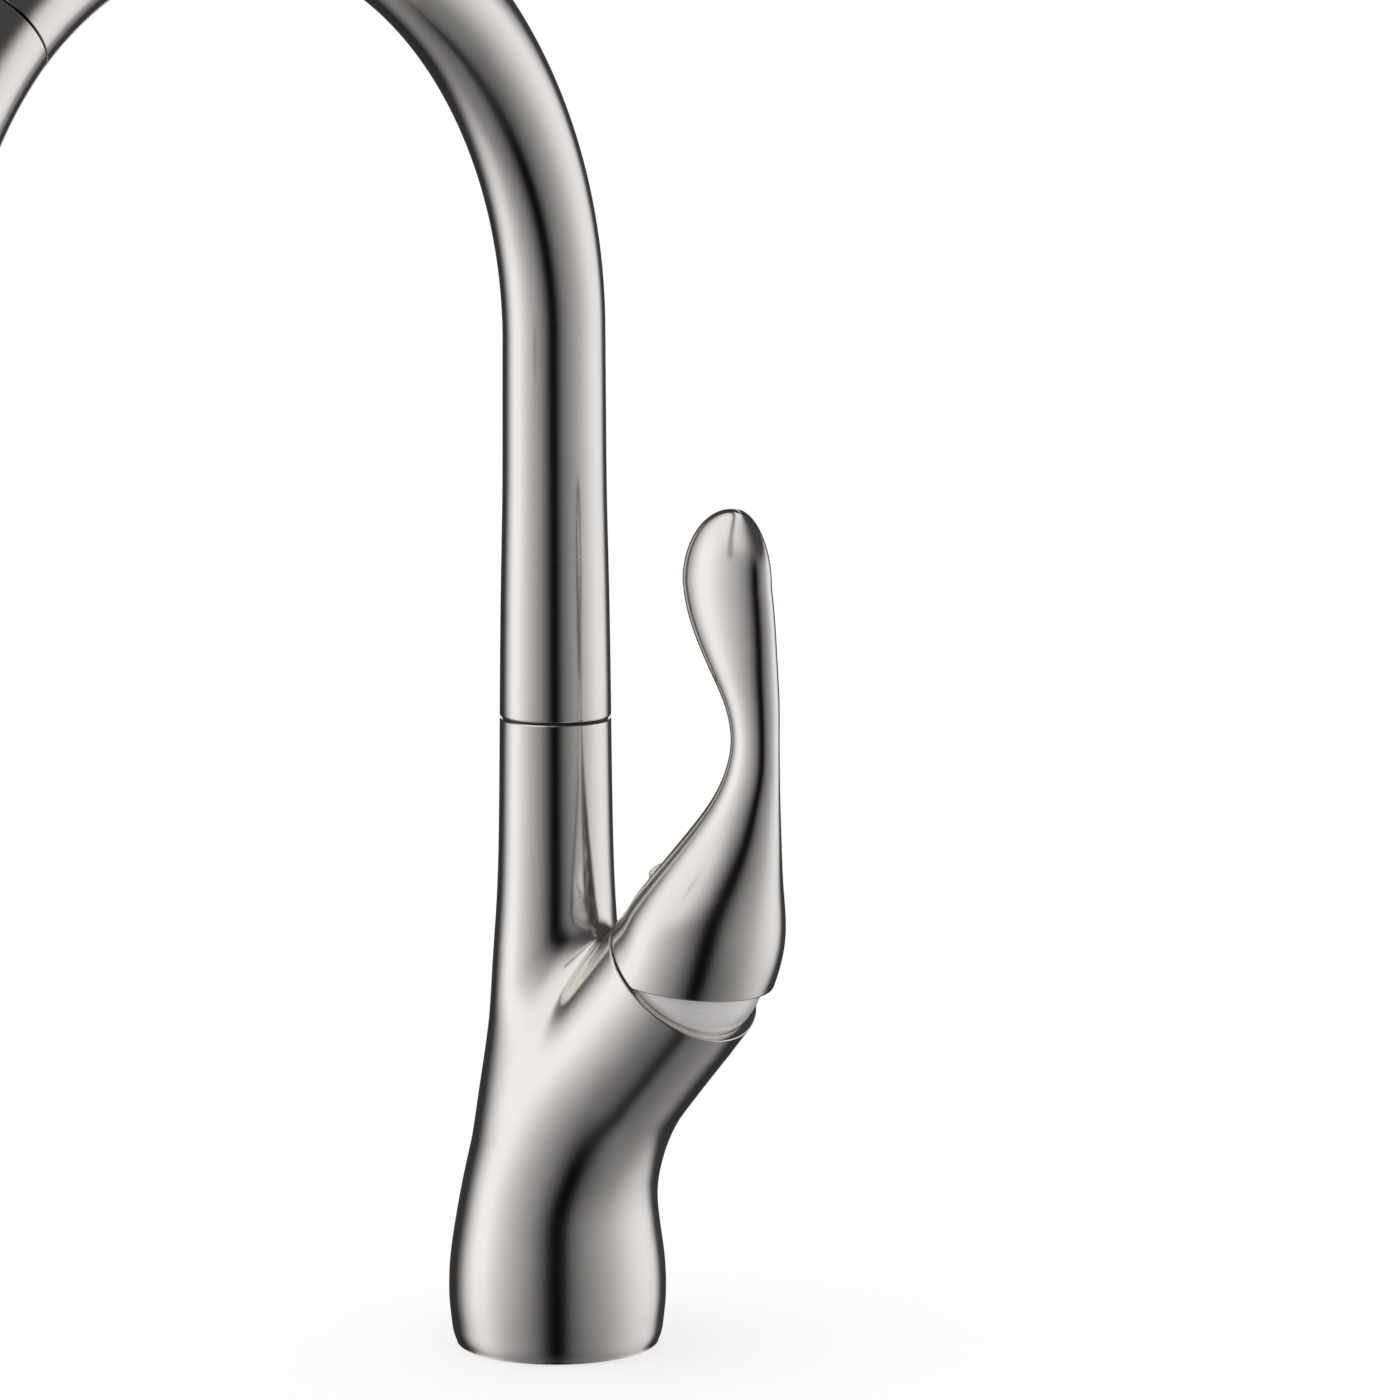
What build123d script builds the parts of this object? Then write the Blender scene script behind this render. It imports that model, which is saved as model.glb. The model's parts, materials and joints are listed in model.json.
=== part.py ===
from build123d import *
import os
from math import cos, degrees, pi, radians, sin, sqrt, tan

# Pull-down kitchen faucet for one 35 mm deck hole: a Y-shaped body, a swivelling arch
# spout, a lever on a tilted side branch and a spray head on a hose that pulls out.
# Millimetres. The origin is the centre of the base on the deck, +Z is up, the spout
# reaches toward -Y and the lever's branch leans toward +X.

os.makedirs("parts", exist_ok=True)

# ---------------------------------------------------------------- driving dimensions

# General clearances
face_gap = 0.3            # between faces of pieces that move past each other
press_gap = 0.05          # radial room of a piece pushed or brazed into its seat
running_gap = 0.06        # radial room of a shaft that turns in a bore
thread_gap = 0.1          # radial room between two plain cylinders that stand for a thread

# Deck fixing
deck_thickness = 30.0
shank_wall = 3.0
shank_spare = 2.24        # beyond one hose and one tube side by side
shank_drop = 60.0         # below the deck's top face
shank_engagement = 20.0   # inside the body
shank_chamfer = 0.75
washer_radius = 28.0
rubber_washer_radius = 27.5
rubber_washer_thickness = 3.0
steel_washer_thickness = 2.0
nut_gap = 1.5             # between the nut and the washer, bridged by the clamp screws
nut_flange_radius = 27.5
nut_flange_thickness = 5.0
nut_hex_height = 8.5
nut_hex_flats = 38.0      # across flats
clamp_screw_count = 3
clamp_screw_radius = 2.4
clamp_screw_reach = 21.0  # from the washer to the head
clamp_screw_head_radius = 3.8
clamp_screw_head_height = 4.0
clamp_screw_circle_radius = 23.3
clamp_screw_slot_width = 1.0
clamp_screw_slot_depth = 1.5

# Body: the round base that narrows to the neck
foot_radius = 25.4
belly_radius = 28.5
belly_height = 16.0
hip_radius = 22.1
hip_height = 54.0
neck_radius = 16.6
neck_height = 101.0
neck_upper_radius = 14.95
neck_upper_height = 132.0
neck_top_radius = 14.45
seam_height = 165.2
seam_chamfer = 0.4
seam_gap = 0.5            # between the neck and the spout tube
gasket_radius = 24.0
gasket_thickness = 2.6

# Body: the side branch for the cartridge
branch_tilt = 42.43       # from vertical, toward +X
branch_foot_height = 55.0
branch_length = 65.4      # from the foot to the rim, along the branch
branch_bend_reach = 30.0  # from the foot to each end of the bend
branch_root_run = 15.0    # straight start of the branch inside the base
branch_root_radius = 25.3
branch_waist_radius = 22.2
rim_wall = 3.6            # around the cartridge nut's thread
base_bore_step = 2.0      # wider than the shank's bore
base_bore_rise = 12.0     # above the branch's foot
branch_bore_radius = 16.5
branch_bore_start = -1.2     # along the branch
cartridge_bore_depth = 18.9  # below the rim
cartridge_floor_thickness = 6.0
cartridge_bore_radius = 17.6
nut_thread_step = 0.6        # wider than the cartridge's bore
nut_thread_relief = 0.6      # below the cartridge's shoulder

# Spout
arch_radius = 112.4
arch_start_height = 264.4
spout_mid_radius = 13.45
spout_mid_height = 230.0
spout_arch_radius = 13.2     # at the start of the arch
spout_end_radius = 15.06
spout_end_angle = 133.16     # turned from vertical
spout_wall_thickness = 1.9
spout_edge_radius = 0.8

# Swivel bearing between the neck and the spout
sleeve_wall = 1.9
sleeve_depth = 33.2          # below the seam
sleeve_reach = 24.8          # above the seam
sleeve_end_gap = 1.0
glide_wall = 1.1
upper_glide_length = 15.0
glide_flange_step = 0.85     # inside the neck's outline
lower_glide_rise = 4.0       # above the sleeve's lower end
lower_glide_length = 6.0
snap_ring_rise = 1.4         # above the sleeve's lower end
snap_ring_thickness = 1.2
snap_ring_depth = 0.7
snap_ring_gap = 3.0
o_ring_thickness = 1.4
guide_bush_length = 10.0
hose_guide_gap = 0.7
collar_lead_in = 0.6

# Hose and water tubes
hose_radius = 6.5
hose_bore_radius = 4.2
hose_shank_gap = 0.3
hose_channel_gap = 1.5
hose_straight_rise = 10.0    # above the branch's foot
hose_centred_rise = 3.0      # above the sleeve's lower end
hose_bottom = -66.0
hose_end_nipple_length = 18.0
hose_end_insert = 12.0
hose_bend_radius = 500.0
hose_into_head = 5.0
nipple_groove_depth = 1.2
nipple_groove_width = 3.0
nipple_bore_radius = 2.1
tube_radius = 4.76
tube_bore_radius = 3.6
tube_bend_radius = 20.0
tube_socket_depth = 3.0
port_radius = 3.2
inlet_port_e = -3.0          # across the branch, away from its outer side
tube_shank_gap = 0.25
tube_hose_gap = 0.27
inlet_tube_bottom = -94.0
outlet_port_e = 9.0
outlet_tube_bottom = -72.0
coupler_flats = 14.0
coupler_length = 20.0
coupler_socket_depth = 12.0
coupler_socket_radius = 4.5
coupler_overlap = 6.0
outlet_plug_radius = 4.5
outlet_plug_length = 12.0
outlet_shoulder_length = 3.0
outlet_collar_radius = 5.9
outlet_collar_length = 8.0

# Cartridge, measured along the branch
pivot_rise = 2.6             # above the rim
cartridge_base_thickness = 4.0
fixed_disc_thickness = 3.0
disc_gap = 0.05
moving_disc_thickness = 2.5
disc_travel = 4.0
disc_edge_gap = 0.45         # at the end of the travel
carrier_thickness = 2.6
carrier_floor = 0.65
rotor_flange_thickness = 1.4
rotor_play = 0.2             # above the disc carrier
rotor_radius = 12.1
rotor_rise = 3.0             # above the pivot
housing_wall = 2.0
housing_lid = 0.6            # over the rotor's flange
housing_gap = 0.15           # radial room in the branch
housing_neck_radius = 14.2
housing_rise = 5.1           # above the rim
cartridge_nut_rise = 4.6     # above the rim
cartridge_nut_dome_gap = 0.31
seal_thickness = 1.2
seal_width = 1.8
stem_half_width = 3.5
stem_foot_gap = 0.85         # above the carrier's floor
stem_pocket_gap = 0.6        # on each side of the stem's foot
stem_rise = 26.0             # above the pivot
stem_slot_width = 8.0
stem_foot_radius = 2.2
rotor_foot_room = 8.0       # beside the axis, below the pivot
stem_waist_room = 5.6
mixing_pocket_shift = 2.0
mixing_pocket_length = 17.0
mixing_pocket_width = 8.0
mixing_pocket_depth = 1.25
pivot_pin_radius = 1.5
pivot_pin_length = 22.0
dome_wall = 1.45
dome_rise = 14.6             # above the rim

# Handle
handle_skirt_step = 0.2      # inside the rim's outline
handle_skirt_wall = 1.29
handle_skirt_rise = 2.0      # straight part above the pivot
handle_cavity_clearance = 0.65
handle_boss_radius = 7.5
handle_boss_rise = 7.0       # above the pivot
skirt_cut_drop = 0.27        # from the rim's middle to where the open lower edge starts
skirt_cut_slope = 8.0        # degrees, falling toward the outer side
set_screw_rise = 10.5        # above the pivot
set_screw_radius = 2.0
set_screw_length = 3.8
set_screw_socket_radius = 1.0
set_screw_socket_depth = 1.9
index_plug_radius = 3.2
index_plug_depth = 2.6
index_plug_rise = 1.6
index_plug_seat_depth = 1.2
index_plug_taper = 30.0      # degrees

# Lever sections from the skirt to the tip: height above the pivot, distance from it toward
# +X, lean toward +X in degrees, half width in the lever's broad direction, half thickness
lever_sections = (
    (16.6, 8.1, 28.8, 20.2, 18.6),
    (30.0, 13.5, 15.5, 14.6, 12.8),
    (44.8, 19.4, 3.0, 9.0, 7.6),
    (61.2, 22.1, 0.0, 6.9, 5.4),
    (75.8, 19.0, 0.0, 9.6, 6.0),
    (95.8, 13.3, 0.0, 13.8, 6.4),
    (106.8, 12.8, 0.0, 12.8, 5.6),
    (113.8, 13.7, 0.0, 9.0, 4.2),
    (118.1, 14.7, 0.0, 3.6, 2.0),
)

# Spray head, measured along its axis
head_bend_end = 160.0        # turned from vertical, where the head becomes straight
head_straight = 58.0
head_waist_radius = 16.3
head_mouth_radius = 19.0
head_wall = 2.0
head_mouth_fillet = 2.0
plug_length = 16.0
plug_wall = 1.7
plug_bore_depth = 14.5       # past the seam
collar_length = 18.0
collar_wall = 1.55
waterway_radius = 10.6
waterway_flange = 3.0
waterway_bore_radius = 5.0
chamber_gap = 0.1            # below the rocker's hub
chamber_wall = 1.6
chamber_start = 4.0
cup_start = 38.0
cup_wall = 1.0
cup_gap = 0.27
ferrule_length = 7.0
ferrule_wall = 1.1
ferrule_gap = 0.4
swivel_nut_length = 8.5
check_valve_length = 10.0
check_valve_gap = 0.3
check_valve_ports = 4
check_valve_port_circle = 2.5
check_valve_port_radius = 1.0
face_recess = 1.2
face_plate_thickness = 2.8
membrane_thickness = 0.9
nozzle_radius = 0.9
outer_nozzle_margin = 0.7    # from the cup's wall
outer_nozzle_count = 18
inner_nozzle_margin = 1.4    # from the aerator
inner_nozzle_count = 12
nozzle_rise = 0.9
aerator_radius = 8.4
aerator_wall = 1.0
aerator_length = 10.0
screen_pitch = 1.8
screen_rib = 0.5
screen_holes = 7
rocker_station = 24.0        # along the straight part
rocker_length = 26.0
rocker_width = 11.0
rocker_side_gap = 0.35
rocker_end_gap = 0.9
rocker_tilt = 5.0            # each way from level
rocker_pin_radius = 1.0
rocker_pin_depth = 4.7       # below the outer wall
rocker_slab_base = 3.2       # above the pin
rocker_slab_top = 5.6
rocker_hub_width = 9.2
rocker_hub_radius = 1.4
rocker_edge_radius = 1.0
ear_thickness = 1.6
ear_width = 4.0
ear_drop = 3.0               # below the pin
ear_rise = 1.2               # above the pin
spool_radius = 2.0
spool_offset = 8.0           # from the pin, toward the mouth
spool_length = 9.0

# ------------------------------------------------------------------- derived places

# Hose and tubes side by side in the shank
shank_bore_radius = hose_radius + tube_radius + shank_spare
shank_radius = shank_bore_radius + shank_wall
hose_offset = shank_bore_radius - hose_radius - hose_shank_gap
outlet_tube_x = shank_bore_radius - tube_radius - tube_shank_gap
tube_to_hose = hose_radius + tube_radius + tube_hose_gap
inlet_tube_x = (tube_to_hose**2 - outlet_tube_x**2 - hose_offset**2) / (2 * hose_offset)
inlet_port_y = sqrt(outlet_tube_x**2 - inlet_tube_x**2)

# Bores of the body
base_bore_radius = shank_bore_radius + base_bore_step
base_bore_height = branch_foot_height + base_bore_rise
hose_channel_radius = hose_radius + hose_channel_gap
nut_thread_radius = cartridge_bore_radius + nut_thread_step
rim_radius = nut_thread_radius + rim_wall

tilt = radians(branch_tilt)
BRANCH = Plane(
    origin=(0, 0, branch_foot_height),
    x_dir=(cos(tilt), 0, -sin(tilt)),
    z_dir=(sin(tilt), 0, cos(tilt)),
)
BRANCH_SIDE = Plane(origin=BRANCH.origin, x_dir=BRANCH.x_dir, z_dir=(0, -1, 0))


def on_branch(along, across=0.0, side=0.0):
    """Point on the branch: height along its axis, then outward and sideways."""
    return BRANCH.from_local_coords(Vector(across, side, along))


def at_branch(along):
    """Plane square to the branch at a height along it."""
    return BRANCH.offset(along)


def on_arch(angle):
    """Point of the spout's centre line, by the angle turned from vertical."""
    turn = radians(angle)
    return Vector(0, -arch_radius * (1 - cos(turn)), arch_start_height + arch_radius * sin(turn))


def across_arch(angle):
    """Plane square to the spout, with its +Y on the arch's outer side."""
    turn = radians(angle)
    return Plane(origin=on_arch(angle), x_dir=(1, 0, 0), z_dir=(0, -sin(turn), cos(turn)))


SEAM = across_arch(spout_end_angle)
MOUTH = across_arch(head_bend_end)


def on_mouth(station):
    """Plane square to the straight part of the head, at a distance past its bend."""
    return MOUTH.offset(station)


def tube_route(across, side, vertical_x, bottom):
    """Bent run of a water tube, from its lower end up into the branch floor."""
    corner_along = (vertical_x - across * cos(tilt)) / sin(tilt)
    corner = on_branch(corner_along, across, side)
    top = on_branch(tube_top, across, side)
    return [Vector(vertical_x, side, bottom), corner, top]


# Deck fixing, from the deck down
rubber_washer_top = -deck_thickness
steel_washer_top = rubber_washer_top - rubber_washer_thickness
steel_washer_bottom = steel_washer_top - steel_washer_thickness
nut_top = steel_washer_bottom - nut_gap
nut_bottom = nut_top - nut_flange_thickness - nut_hex_height
thread_seat_radius = shank_radius + thread_gap

# Swivel bearing, from the sleeve's lower end up
spout_foot_radius = neck_top_radius
spout_bore_radius = spout_arch_radius - spout_wall_thickness
sleeve_radius = spout_bore_radius - press_gap
sleeve_bottom = seam_height - sleeve_depth
sleeve_top = seam_height + sleeve_reach
neck_counterbore_radius = sleeve_radius + glide_wall
neck_counterbore_bottom = sleeve_bottom - sleeve_end_gap
glide_flange_radius = neck_top_radius - glide_flange_step
snap_ring_bottom = sleeve_bottom + snap_ring_rise
lower_glide_bottom = sleeve_bottom + lower_glide_rise
lower_glide_top = lower_glide_bottom + lower_glide_length
o_ring_height = (lower_glide_top + seam_height - upper_glide_length) / 2
guide_bush_bore = hose_radius + hose_guide_gap

# Branch, from its floor out
pivot_height = branch_length + pivot_rise
cartridge_floor_top = branch_length - cartridge_bore_depth
floor_bottom = cartridge_floor_top - cartridge_floor_thickness
tube_top = floor_bottom + tube_socket_depth
base_disc_bottom = cartridge_floor_top + disc_gap
base_disc_top = base_disc_bottom + cartridge_base_thickness
fixed_disc_top = base_disc_top + fixed_disc_thickness
moving_disc_bottom = fixed_disc_top + disc_gap
moving_disc_top = moving_disc_bottom + moving_disc_thickness
carrier_top = moving_disc_top + carrier_thickness
rotor_bottom = carrier_top + rotor_play
rotor_step = rotor_bottom + rotor_flange_thickness
rotor_top = pivot_height + rotor_rise
stem_bottom = moving_disc_top + carrier_floor + stem_foot_gap
housing_radius = cartridge_bore_radius - housing_gap
housing_shoulder = rotor_step + disc_gap + housing_lid
nut_thread_start = housing_shoulder - nut_thread_relief
housing_bore_radius = housing_radius - housing_wall
housing_neck_bore = rotor_radius + 2 * running_gap
moving_disc_radius = housing_bore_radius - disc_travel - disc_edge_gap
housing_top = branch_length + housing_rise
cartridge_nut_top = branch_length + cartridge_nut_rise
stem_top = pivot_height + stem_rise
dome_top = branch_length + dome_rise
handle_skirt_radius = rim_radius - handle_skirt_step
cavity_radius = handle_skirt_radius - handle_skirt_wall
dome_radius = cavity_radius - handle_cavity_clearance
cartridge_nut_hex_radius = dome_radius - dome_wall - cartridge_nut_dome_gap
skirt_bottom = branch_length + seam_gap
handle_boss_bottom = pivot_height + handle_boss_rise
set_screw_height = pivot_height + set_screw_rise

SCREW_WAY = Plane(origin=on_branch(set_screw_height), x_dir=(0, 1, 0), z_dir=-BRANCH.x_dir)
plug_seat = handle_skirt_radius - index_plug_seat_depth
skirt_cut = Plane(
    origin=on_branch(branch_length) - Vector(0, 0, skirt_cut_drop),
    x_dir=(cos(radians(skirt_cut_slope)), 0, -sin(radians(skirt_cut_slope))),
    z_dir=(sin(radians(skirt_cut_slope)), 0, cos(radians(skirt_cut_slope))),
)


def head_inner_radius(station):
    """Inner radius of the head's shell, at a distance past its bend."""
    widening = (head_mouth_radius - head_waist_radius) * station / head_straight
    return head_waist_radius + widening - head_wall


ferrule_radius = hose_radius + ferrule_wall
plug_bore_radius = ferrule_radius + ferrule_gap
plug_radius = plug_bore_radius + plug_wall
collar_seat_radius = plug_radius + face_gap + collar_wall + press_gap
plate_top = head_straight - face_recess - face_plate_thickness
plate_radius = head_inner_radius(plate_top) - face_gap
cup_radius = head_inner_radius(cup_start) - cup_gap
nozzle_rows = [
    (cup_radius - cup_wall - nozzle_radius - outer_nozzle_margin, outer_nozzle_count),
    (aerator_radius + nozzle_radius + inner_nozzle_margin, inner_nozzle_count),
]
aerator_top = head_straight - face_recess - aerator_length
rocker_wall_radius = head_inner_radius(rocker_station) + head_wall
chamber_radius = rocker_wall_radius - rocker_pin_depth - rocker_hub_radius - chamber_gap
ROCKER = Plane(
    origin=on_mouth(rocker_station).origin + MOUTH.y_dir * (rocker_wall_radius - rocker_pin_depth),
    x_dir=(1, 0, 0),
    z_dir=MOUTH.y_dir,
)
ROCKER_REST = ROCKER.rotated((-rocker_tilt, 0, 0))
spool_top = rocker_slab_base + spool_offset * sin(radians(rocker_tilt)) - face_gap
CHECK = across_arch(
    spout_end_angle + degrees((plug_bore_depth + face_gap + check_valve_length / 2) / arch_radius)
)
port_places = [
    (inlet_port_e, inlet_port_y),
    (inlet_port_e, -inlet_port_y),
    (outlet_port_e, 0),
]
nut_hex_turn = 30
clamp_screw_start = 90

# Hose, from below the deck to the end of the spout
hose_low = Vector(-hose_offset, 0, branch_foot_height + hose_straight_rise)
hose_high = Vector(0, 0, sleeve_bottom + hose_centred_rise)

# ------------------------------------------------------------------------- the body

with BuildPart() as body:
    with BuildSketch(Plane.XZ):
        with BuildLine():
            Spline(
                (foot_radius, 0),
                (belly_radius, belly_height),
                (hip_radius, hip_height),
                (neck_radius, neck_height),
                (neck_upper_radius, neck_upper_height),
                (neck_top_radius, seam_height - seam_chamfer),
                tangents=((1, 1), (0, 1)),
            )
            Polyline(
                (neck_top_radius, seam_height - seam_chamfer),
                (neck_top_radius - seam_chamfer, seam_height),
                (0, seam_height),
                (0, 0),
                (foot_radius, 0),
            )
        make_face()
    revolve(axis=Axis.Z)
    with BuildLine() as branch_line:
        FilletPolyline(
            (0, 0, branch_foot_height - branch_bend_reach - branch_root_run),
            (0, 0, branch_foot_height),
            on_branch(branch_length),
            radius=branch_bend_reach / tan(tilt / 2),
        )
    branch_path = branch_line.wire()
    with BuildSketch(Plane(branch_path @ 0, z_dir=branch_path % 0)):
        Circle(branch_root_radius)
    with BuildSketch(at_branch(branch_bend_reach)):
        Circle(branch_waist_radius)
    with BuildSketch(at_branch(branch_length)):
        Circle(rim_radius)
    sweep(path=branch_path, multisection=True)
    # Cartridge bore, its thread and the ports in its floor
    with BuildSketch(at_branch(cartridge_floor_top)):
        Circle(cartridge_bore_radius)
    extrude(amount=branch_length - cartridge_floor_top, mode=Mode.SUBTRACT)
    with BuildSketch(at_branch(nut_thread_start)):
        Circle(nut_thread_radius)
    extrude(amount=branch_length - nut_thread_start, mode=Mode.SUBTRACT)
    with BuildSketch(at_branch(floor_bottom)):
        with Locations(*port_places):
            Circle(port_radius)
    extrude(amount=cartridge_floor_thickness, mode=Mode.SUBTRACT)
    with BuildSketch(at_branch(floor_bottom)):
        with Locations(*port_places):
            Circle(tube_radius + press_gap)
    extrude(amount=tube_socket_depth, mode=Mode.SUBTRACT)
    # Room below the floor for the water tubes, open to the base
    with BuildSketch(at_branch(branch_bore_start)):
        Circle(branch_bore_radius)
    extrude(amount=floor_bottom - branch_bore_start, mode=Mode.SUBTRACT)
    with BuildSketch(Plane.XY.offset(shank_engagement)):
        Circle(base_bore_radius)
    extrude(amount=base_bore_height - shank_engagement, mode=Mode.SUBTRACT)
    # Hose channel and the seat of the spout's bearing
    with BuildSketch(Plane(hose_low, z_dir=hose_high - hose_low)):
        Circle(hose_channel_radius)
    extrude(amount=(hose_high - hose_low).length, mode=Mode.SUBTRACT)
    with BuildSketch(Plane.XY.offset(neck_counterbore_bottom)):
        Circle(neck_counterbore_radius)
    extrude(amount=seam_height - neck_counterbore_bottom, mode=Mode.SUBTRACT)
    # Thread for the shank and the recess of the base seal
    with BuildSketch(Plane.XY):
        Circle(thread_seat_radius)
    extrude(amount=shank_engagement, mode=Mode.SUBTRACT)
    with BuildSketch(Plane.XY):
        Circle(gasket_radius + thread_gap)
    extrude(amount=gasket_thickness, mode=Mode.SUBTRACT)
body.part.label = "body"
export_step(body.part, "parts/body.step")

# --------------------------------------------------------------- base and deck fixing

with BuildPart() as base_gasket:
    with BuildSketch(Plane.XY):
        Circle(gasket_radius)
        Circle(thread_seat_radius + face_gap, mode=Mode.SUBTRACT)
    extrude(amount=gasket_thickness)
base_gasket.part.label = "base_gasket"
export_step(base_gasket.part, "parts/base_gasket.step")

with BuildPart() as mounting_shank:
    with BuildSketch(Plane.XY.offset(-shank_drop)):
        Circle(shank_radius)
        Circle(shank_bore_radius, mode=Mode.SUBTRACT)
    extrude(amount=shank_drop + shank_engagement)
    chamfer(mounting_shank.edges().group_by(Axis.Z)[0], shank_chamfer)
mounting_shank.part.label = "mounting_shank"
export_step(mounting_shank.part, "parts/mounting_shank.step")

with BuildPart() as rubber_washer:
    with BuildSketch(Plane.XY.offset(steel_washer_top)):
        Circle(rubber_washer_radius)
        Circle(shank_radius + face_gap, mode=Mode.SUBTRACT)
    extrude(amount=rubber_washer_thickness)
rubber_washer.part.label = "rubber_washer"
export_step(rubber_washer.part, "parts/rubber_washer.step")

with BuildPart() as steel_washer:
    with BuildSketch(Plane.XY.offset(steel_washer_bottom)):
        Circle(washer_radius)
        Circle(shank_radius + face_gap, mode=Mode.SUBTRACT)
    extrude(amount=steel_washer_thickness)
steel_washer.part.label = "steel_washer"
export_step(steel_washer.part, "parts/steel_washer.step")

with BuildPart() as mounting_nut:
    with BuildSketch(Plane.XY.offset(nut_top)):
        Circle(nut_flange_radius)
    extrude(amount=-nut_flange_thickness)
    with BuildSketch(Plane.XY.offset(nut_top - nut_flange_thickness)):
        RegularPolygon(nut_hex_flats / 2, side_count=6, major_radius=False, rotation=nut_hex_turn)
    extrude(amount=-nut_hex_height)
    with BuildSketch(Plane.XY.offset(nut_top)):
        Circle(thread_seat_radius)
        with PolarLocations(clamp_screw_circle_radius, clamp_screw_count, start_angle=clamp_screw_start):
            Circle(clamp_screw_radius + thread_gap)
    extrude(amount=nut_bottom - nut_top, mode=Mode.SUBTRACT)
mounting_nut.part.label = "mounting_nut"
export_step(mounting_nut.part, "parts/mounting_nut.step")

with BuildPart() as clamp_screws:
    with BuildSketch(Plane.XY.offset(steel_washer_bottom)):
        with PolarLocations(clamp_screw_circle_radius, clamp_screw_count, start_angle=clamp_screw_start):
            Circle(clamp_screw_radius)
    extrude(amount=-clamp_screw_reach)
    with BuildSketch(Plane.XY.offset(steel_washer_bottom - clamp_screw_reach)):
        with PolarLocations(clamp_screw_circle_radius, clamp_screw_count, start_angle=clamp_screw_start):
            Circle(clamp_screw_head_radius)
    extrude(amount=-clamp_screw_head_height)
    head_end = steel_washer_bottom - clamp_screw_reach - clamp_screw_head_height
    with BuildSketch(Plane.XY.offset(head_end)):
        with PolarLocations(clamp_screw_circle_radius, clamp_screw_count, start_angle=clamp_screw_start):
            Rectangle(3 * clamp_screw_head_radius, clamp_screw_slot_width)
    extrude(amount=clamp_screw_slot_depth, mode=Mode.SUBTRACT)
clamp_screws.part.label = "clamp_screws"
export_step(clamp_screws.part, "parts/clamp_screws.step")

# ----------------------------------------------------------------------- water tubes

inlet_routes = {
    "hot": tube_route(inlet_port_e, -inlet_port_y, inlet_tube_x, inlet_tube_bottom),
    "cold": tube_route(inlet_port_e, inlet_port_y, inlet_tube_x, inlet_tube_bottom),
}
outlet_route = tube_route(outlet_port_e, 0, outlet_tube_x, outlet_tube_bottom)

for side, route in inlet_routes.items():
    with BuildPart() as supply_tube:
        with BuildLine() as supply_line:
            FilletPolyline(*route, radius=tube_bend_radius)
        with BuildSketch(Plane(route[0], z_dir=(0, 0, 1))):
            Circle(tube_radius)
            Circle(tube_bore_radius, mode=Mode.SUBTRACT)
        sweep(path=supply_line.wire())
    supply_tube.part.label = f"{side}_supply_tube"
    export_step(supply_tube.part, f"parts/{side}_supply_tube.step")

    with BuildPart() as coupler:
        with BuildSketch(Plane(route[0], z_dir=(0, 0, 1)).offset(coupler_overlap)):
            RegularPolygon(coupler_flats / 2, side_count=6, major_radius=False)
        extrude(amount=-coupler_length)
        with BuildSketch(Plane(route[0], z_dir=(0, 0, 1)).offset(coupler_overlap)):
            Circle(tube_radius + press_gap)
        extrude(amount=-coupler_overlap, mode=Mode.SUBTRACT)
        with BuildSketch(Plane(route[0], z_dir=(0, 0, 1))):
            Circle(tube_bore_radius)
        extrude(amount=coupler_overlap - coupler_length, mode=Mode.SUBTRACT)
        coupler_end = Plane(route[0], z_dir=(0, 0, 1)).offset(coupler_overlap - coupler_length)
        with BuildSketch(coupler_end):
            Circle(coupler_socket_radius)
        extrude(amount=coupler_socket_depth, mode=Mode.SUBTRACT)
    coupler.part.label = f"{side}_inlet_coupler"
    export_step(coupler.part, f"parts/{side}_inlet_coupler.step")

with BuildPart() as outlet_tube:
    with BuildLine() as outlet_line:
        FilletPolyline(*outlet_route, radius=tube_bend_radius)
    with BuildSketch(Plane(outlet_route[0], z_dir=(0, 0, 1))):
        Circle(tube_radius)
        Circle(tube_bore_radius, mode=Mode.SUBTRACT)
    sweep(path=outlet_line.wire())
outlet_tube.part.label = "outlet_tube"
export_step(outlet_tube.part, "parts/outlet_tube.step")

with BuildPart() as outlet_plug:
    outlet_end = Plane(outlet_route[0], z_dir=(0, 0, 1))
    with BuildSketch(outlet_end.offset(outlet_collar_length - face_gap)):
        Circle(outlet_collar_radius)
        Circle(tube_radius + press_gap, mode=Mode.SUBTRACT)
    extrude(amount=-outlet_collar_length)
    with BuildSketch(outlet_end):
        Circle(outlet_plug_radius)
        Circle(tube_bore_radius - press_gap, mode=Mode.SUBTRACT)
    extrude(amount=-outlet_plug_length)
    with BuildSketch(outlet_end):
        Circle(outlet_collar_radius)
        Circle(tube_bore_radius, mode=Mode.SUBTRACT)
    extrude(amount=-outlet_shoulder_length)
outlet_plug.part.label = "outlet_plug"
export_step(outlet_plug.part, "parts/outlet_plug.step")

# -------------------------------------------------------------------------- the spout

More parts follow.
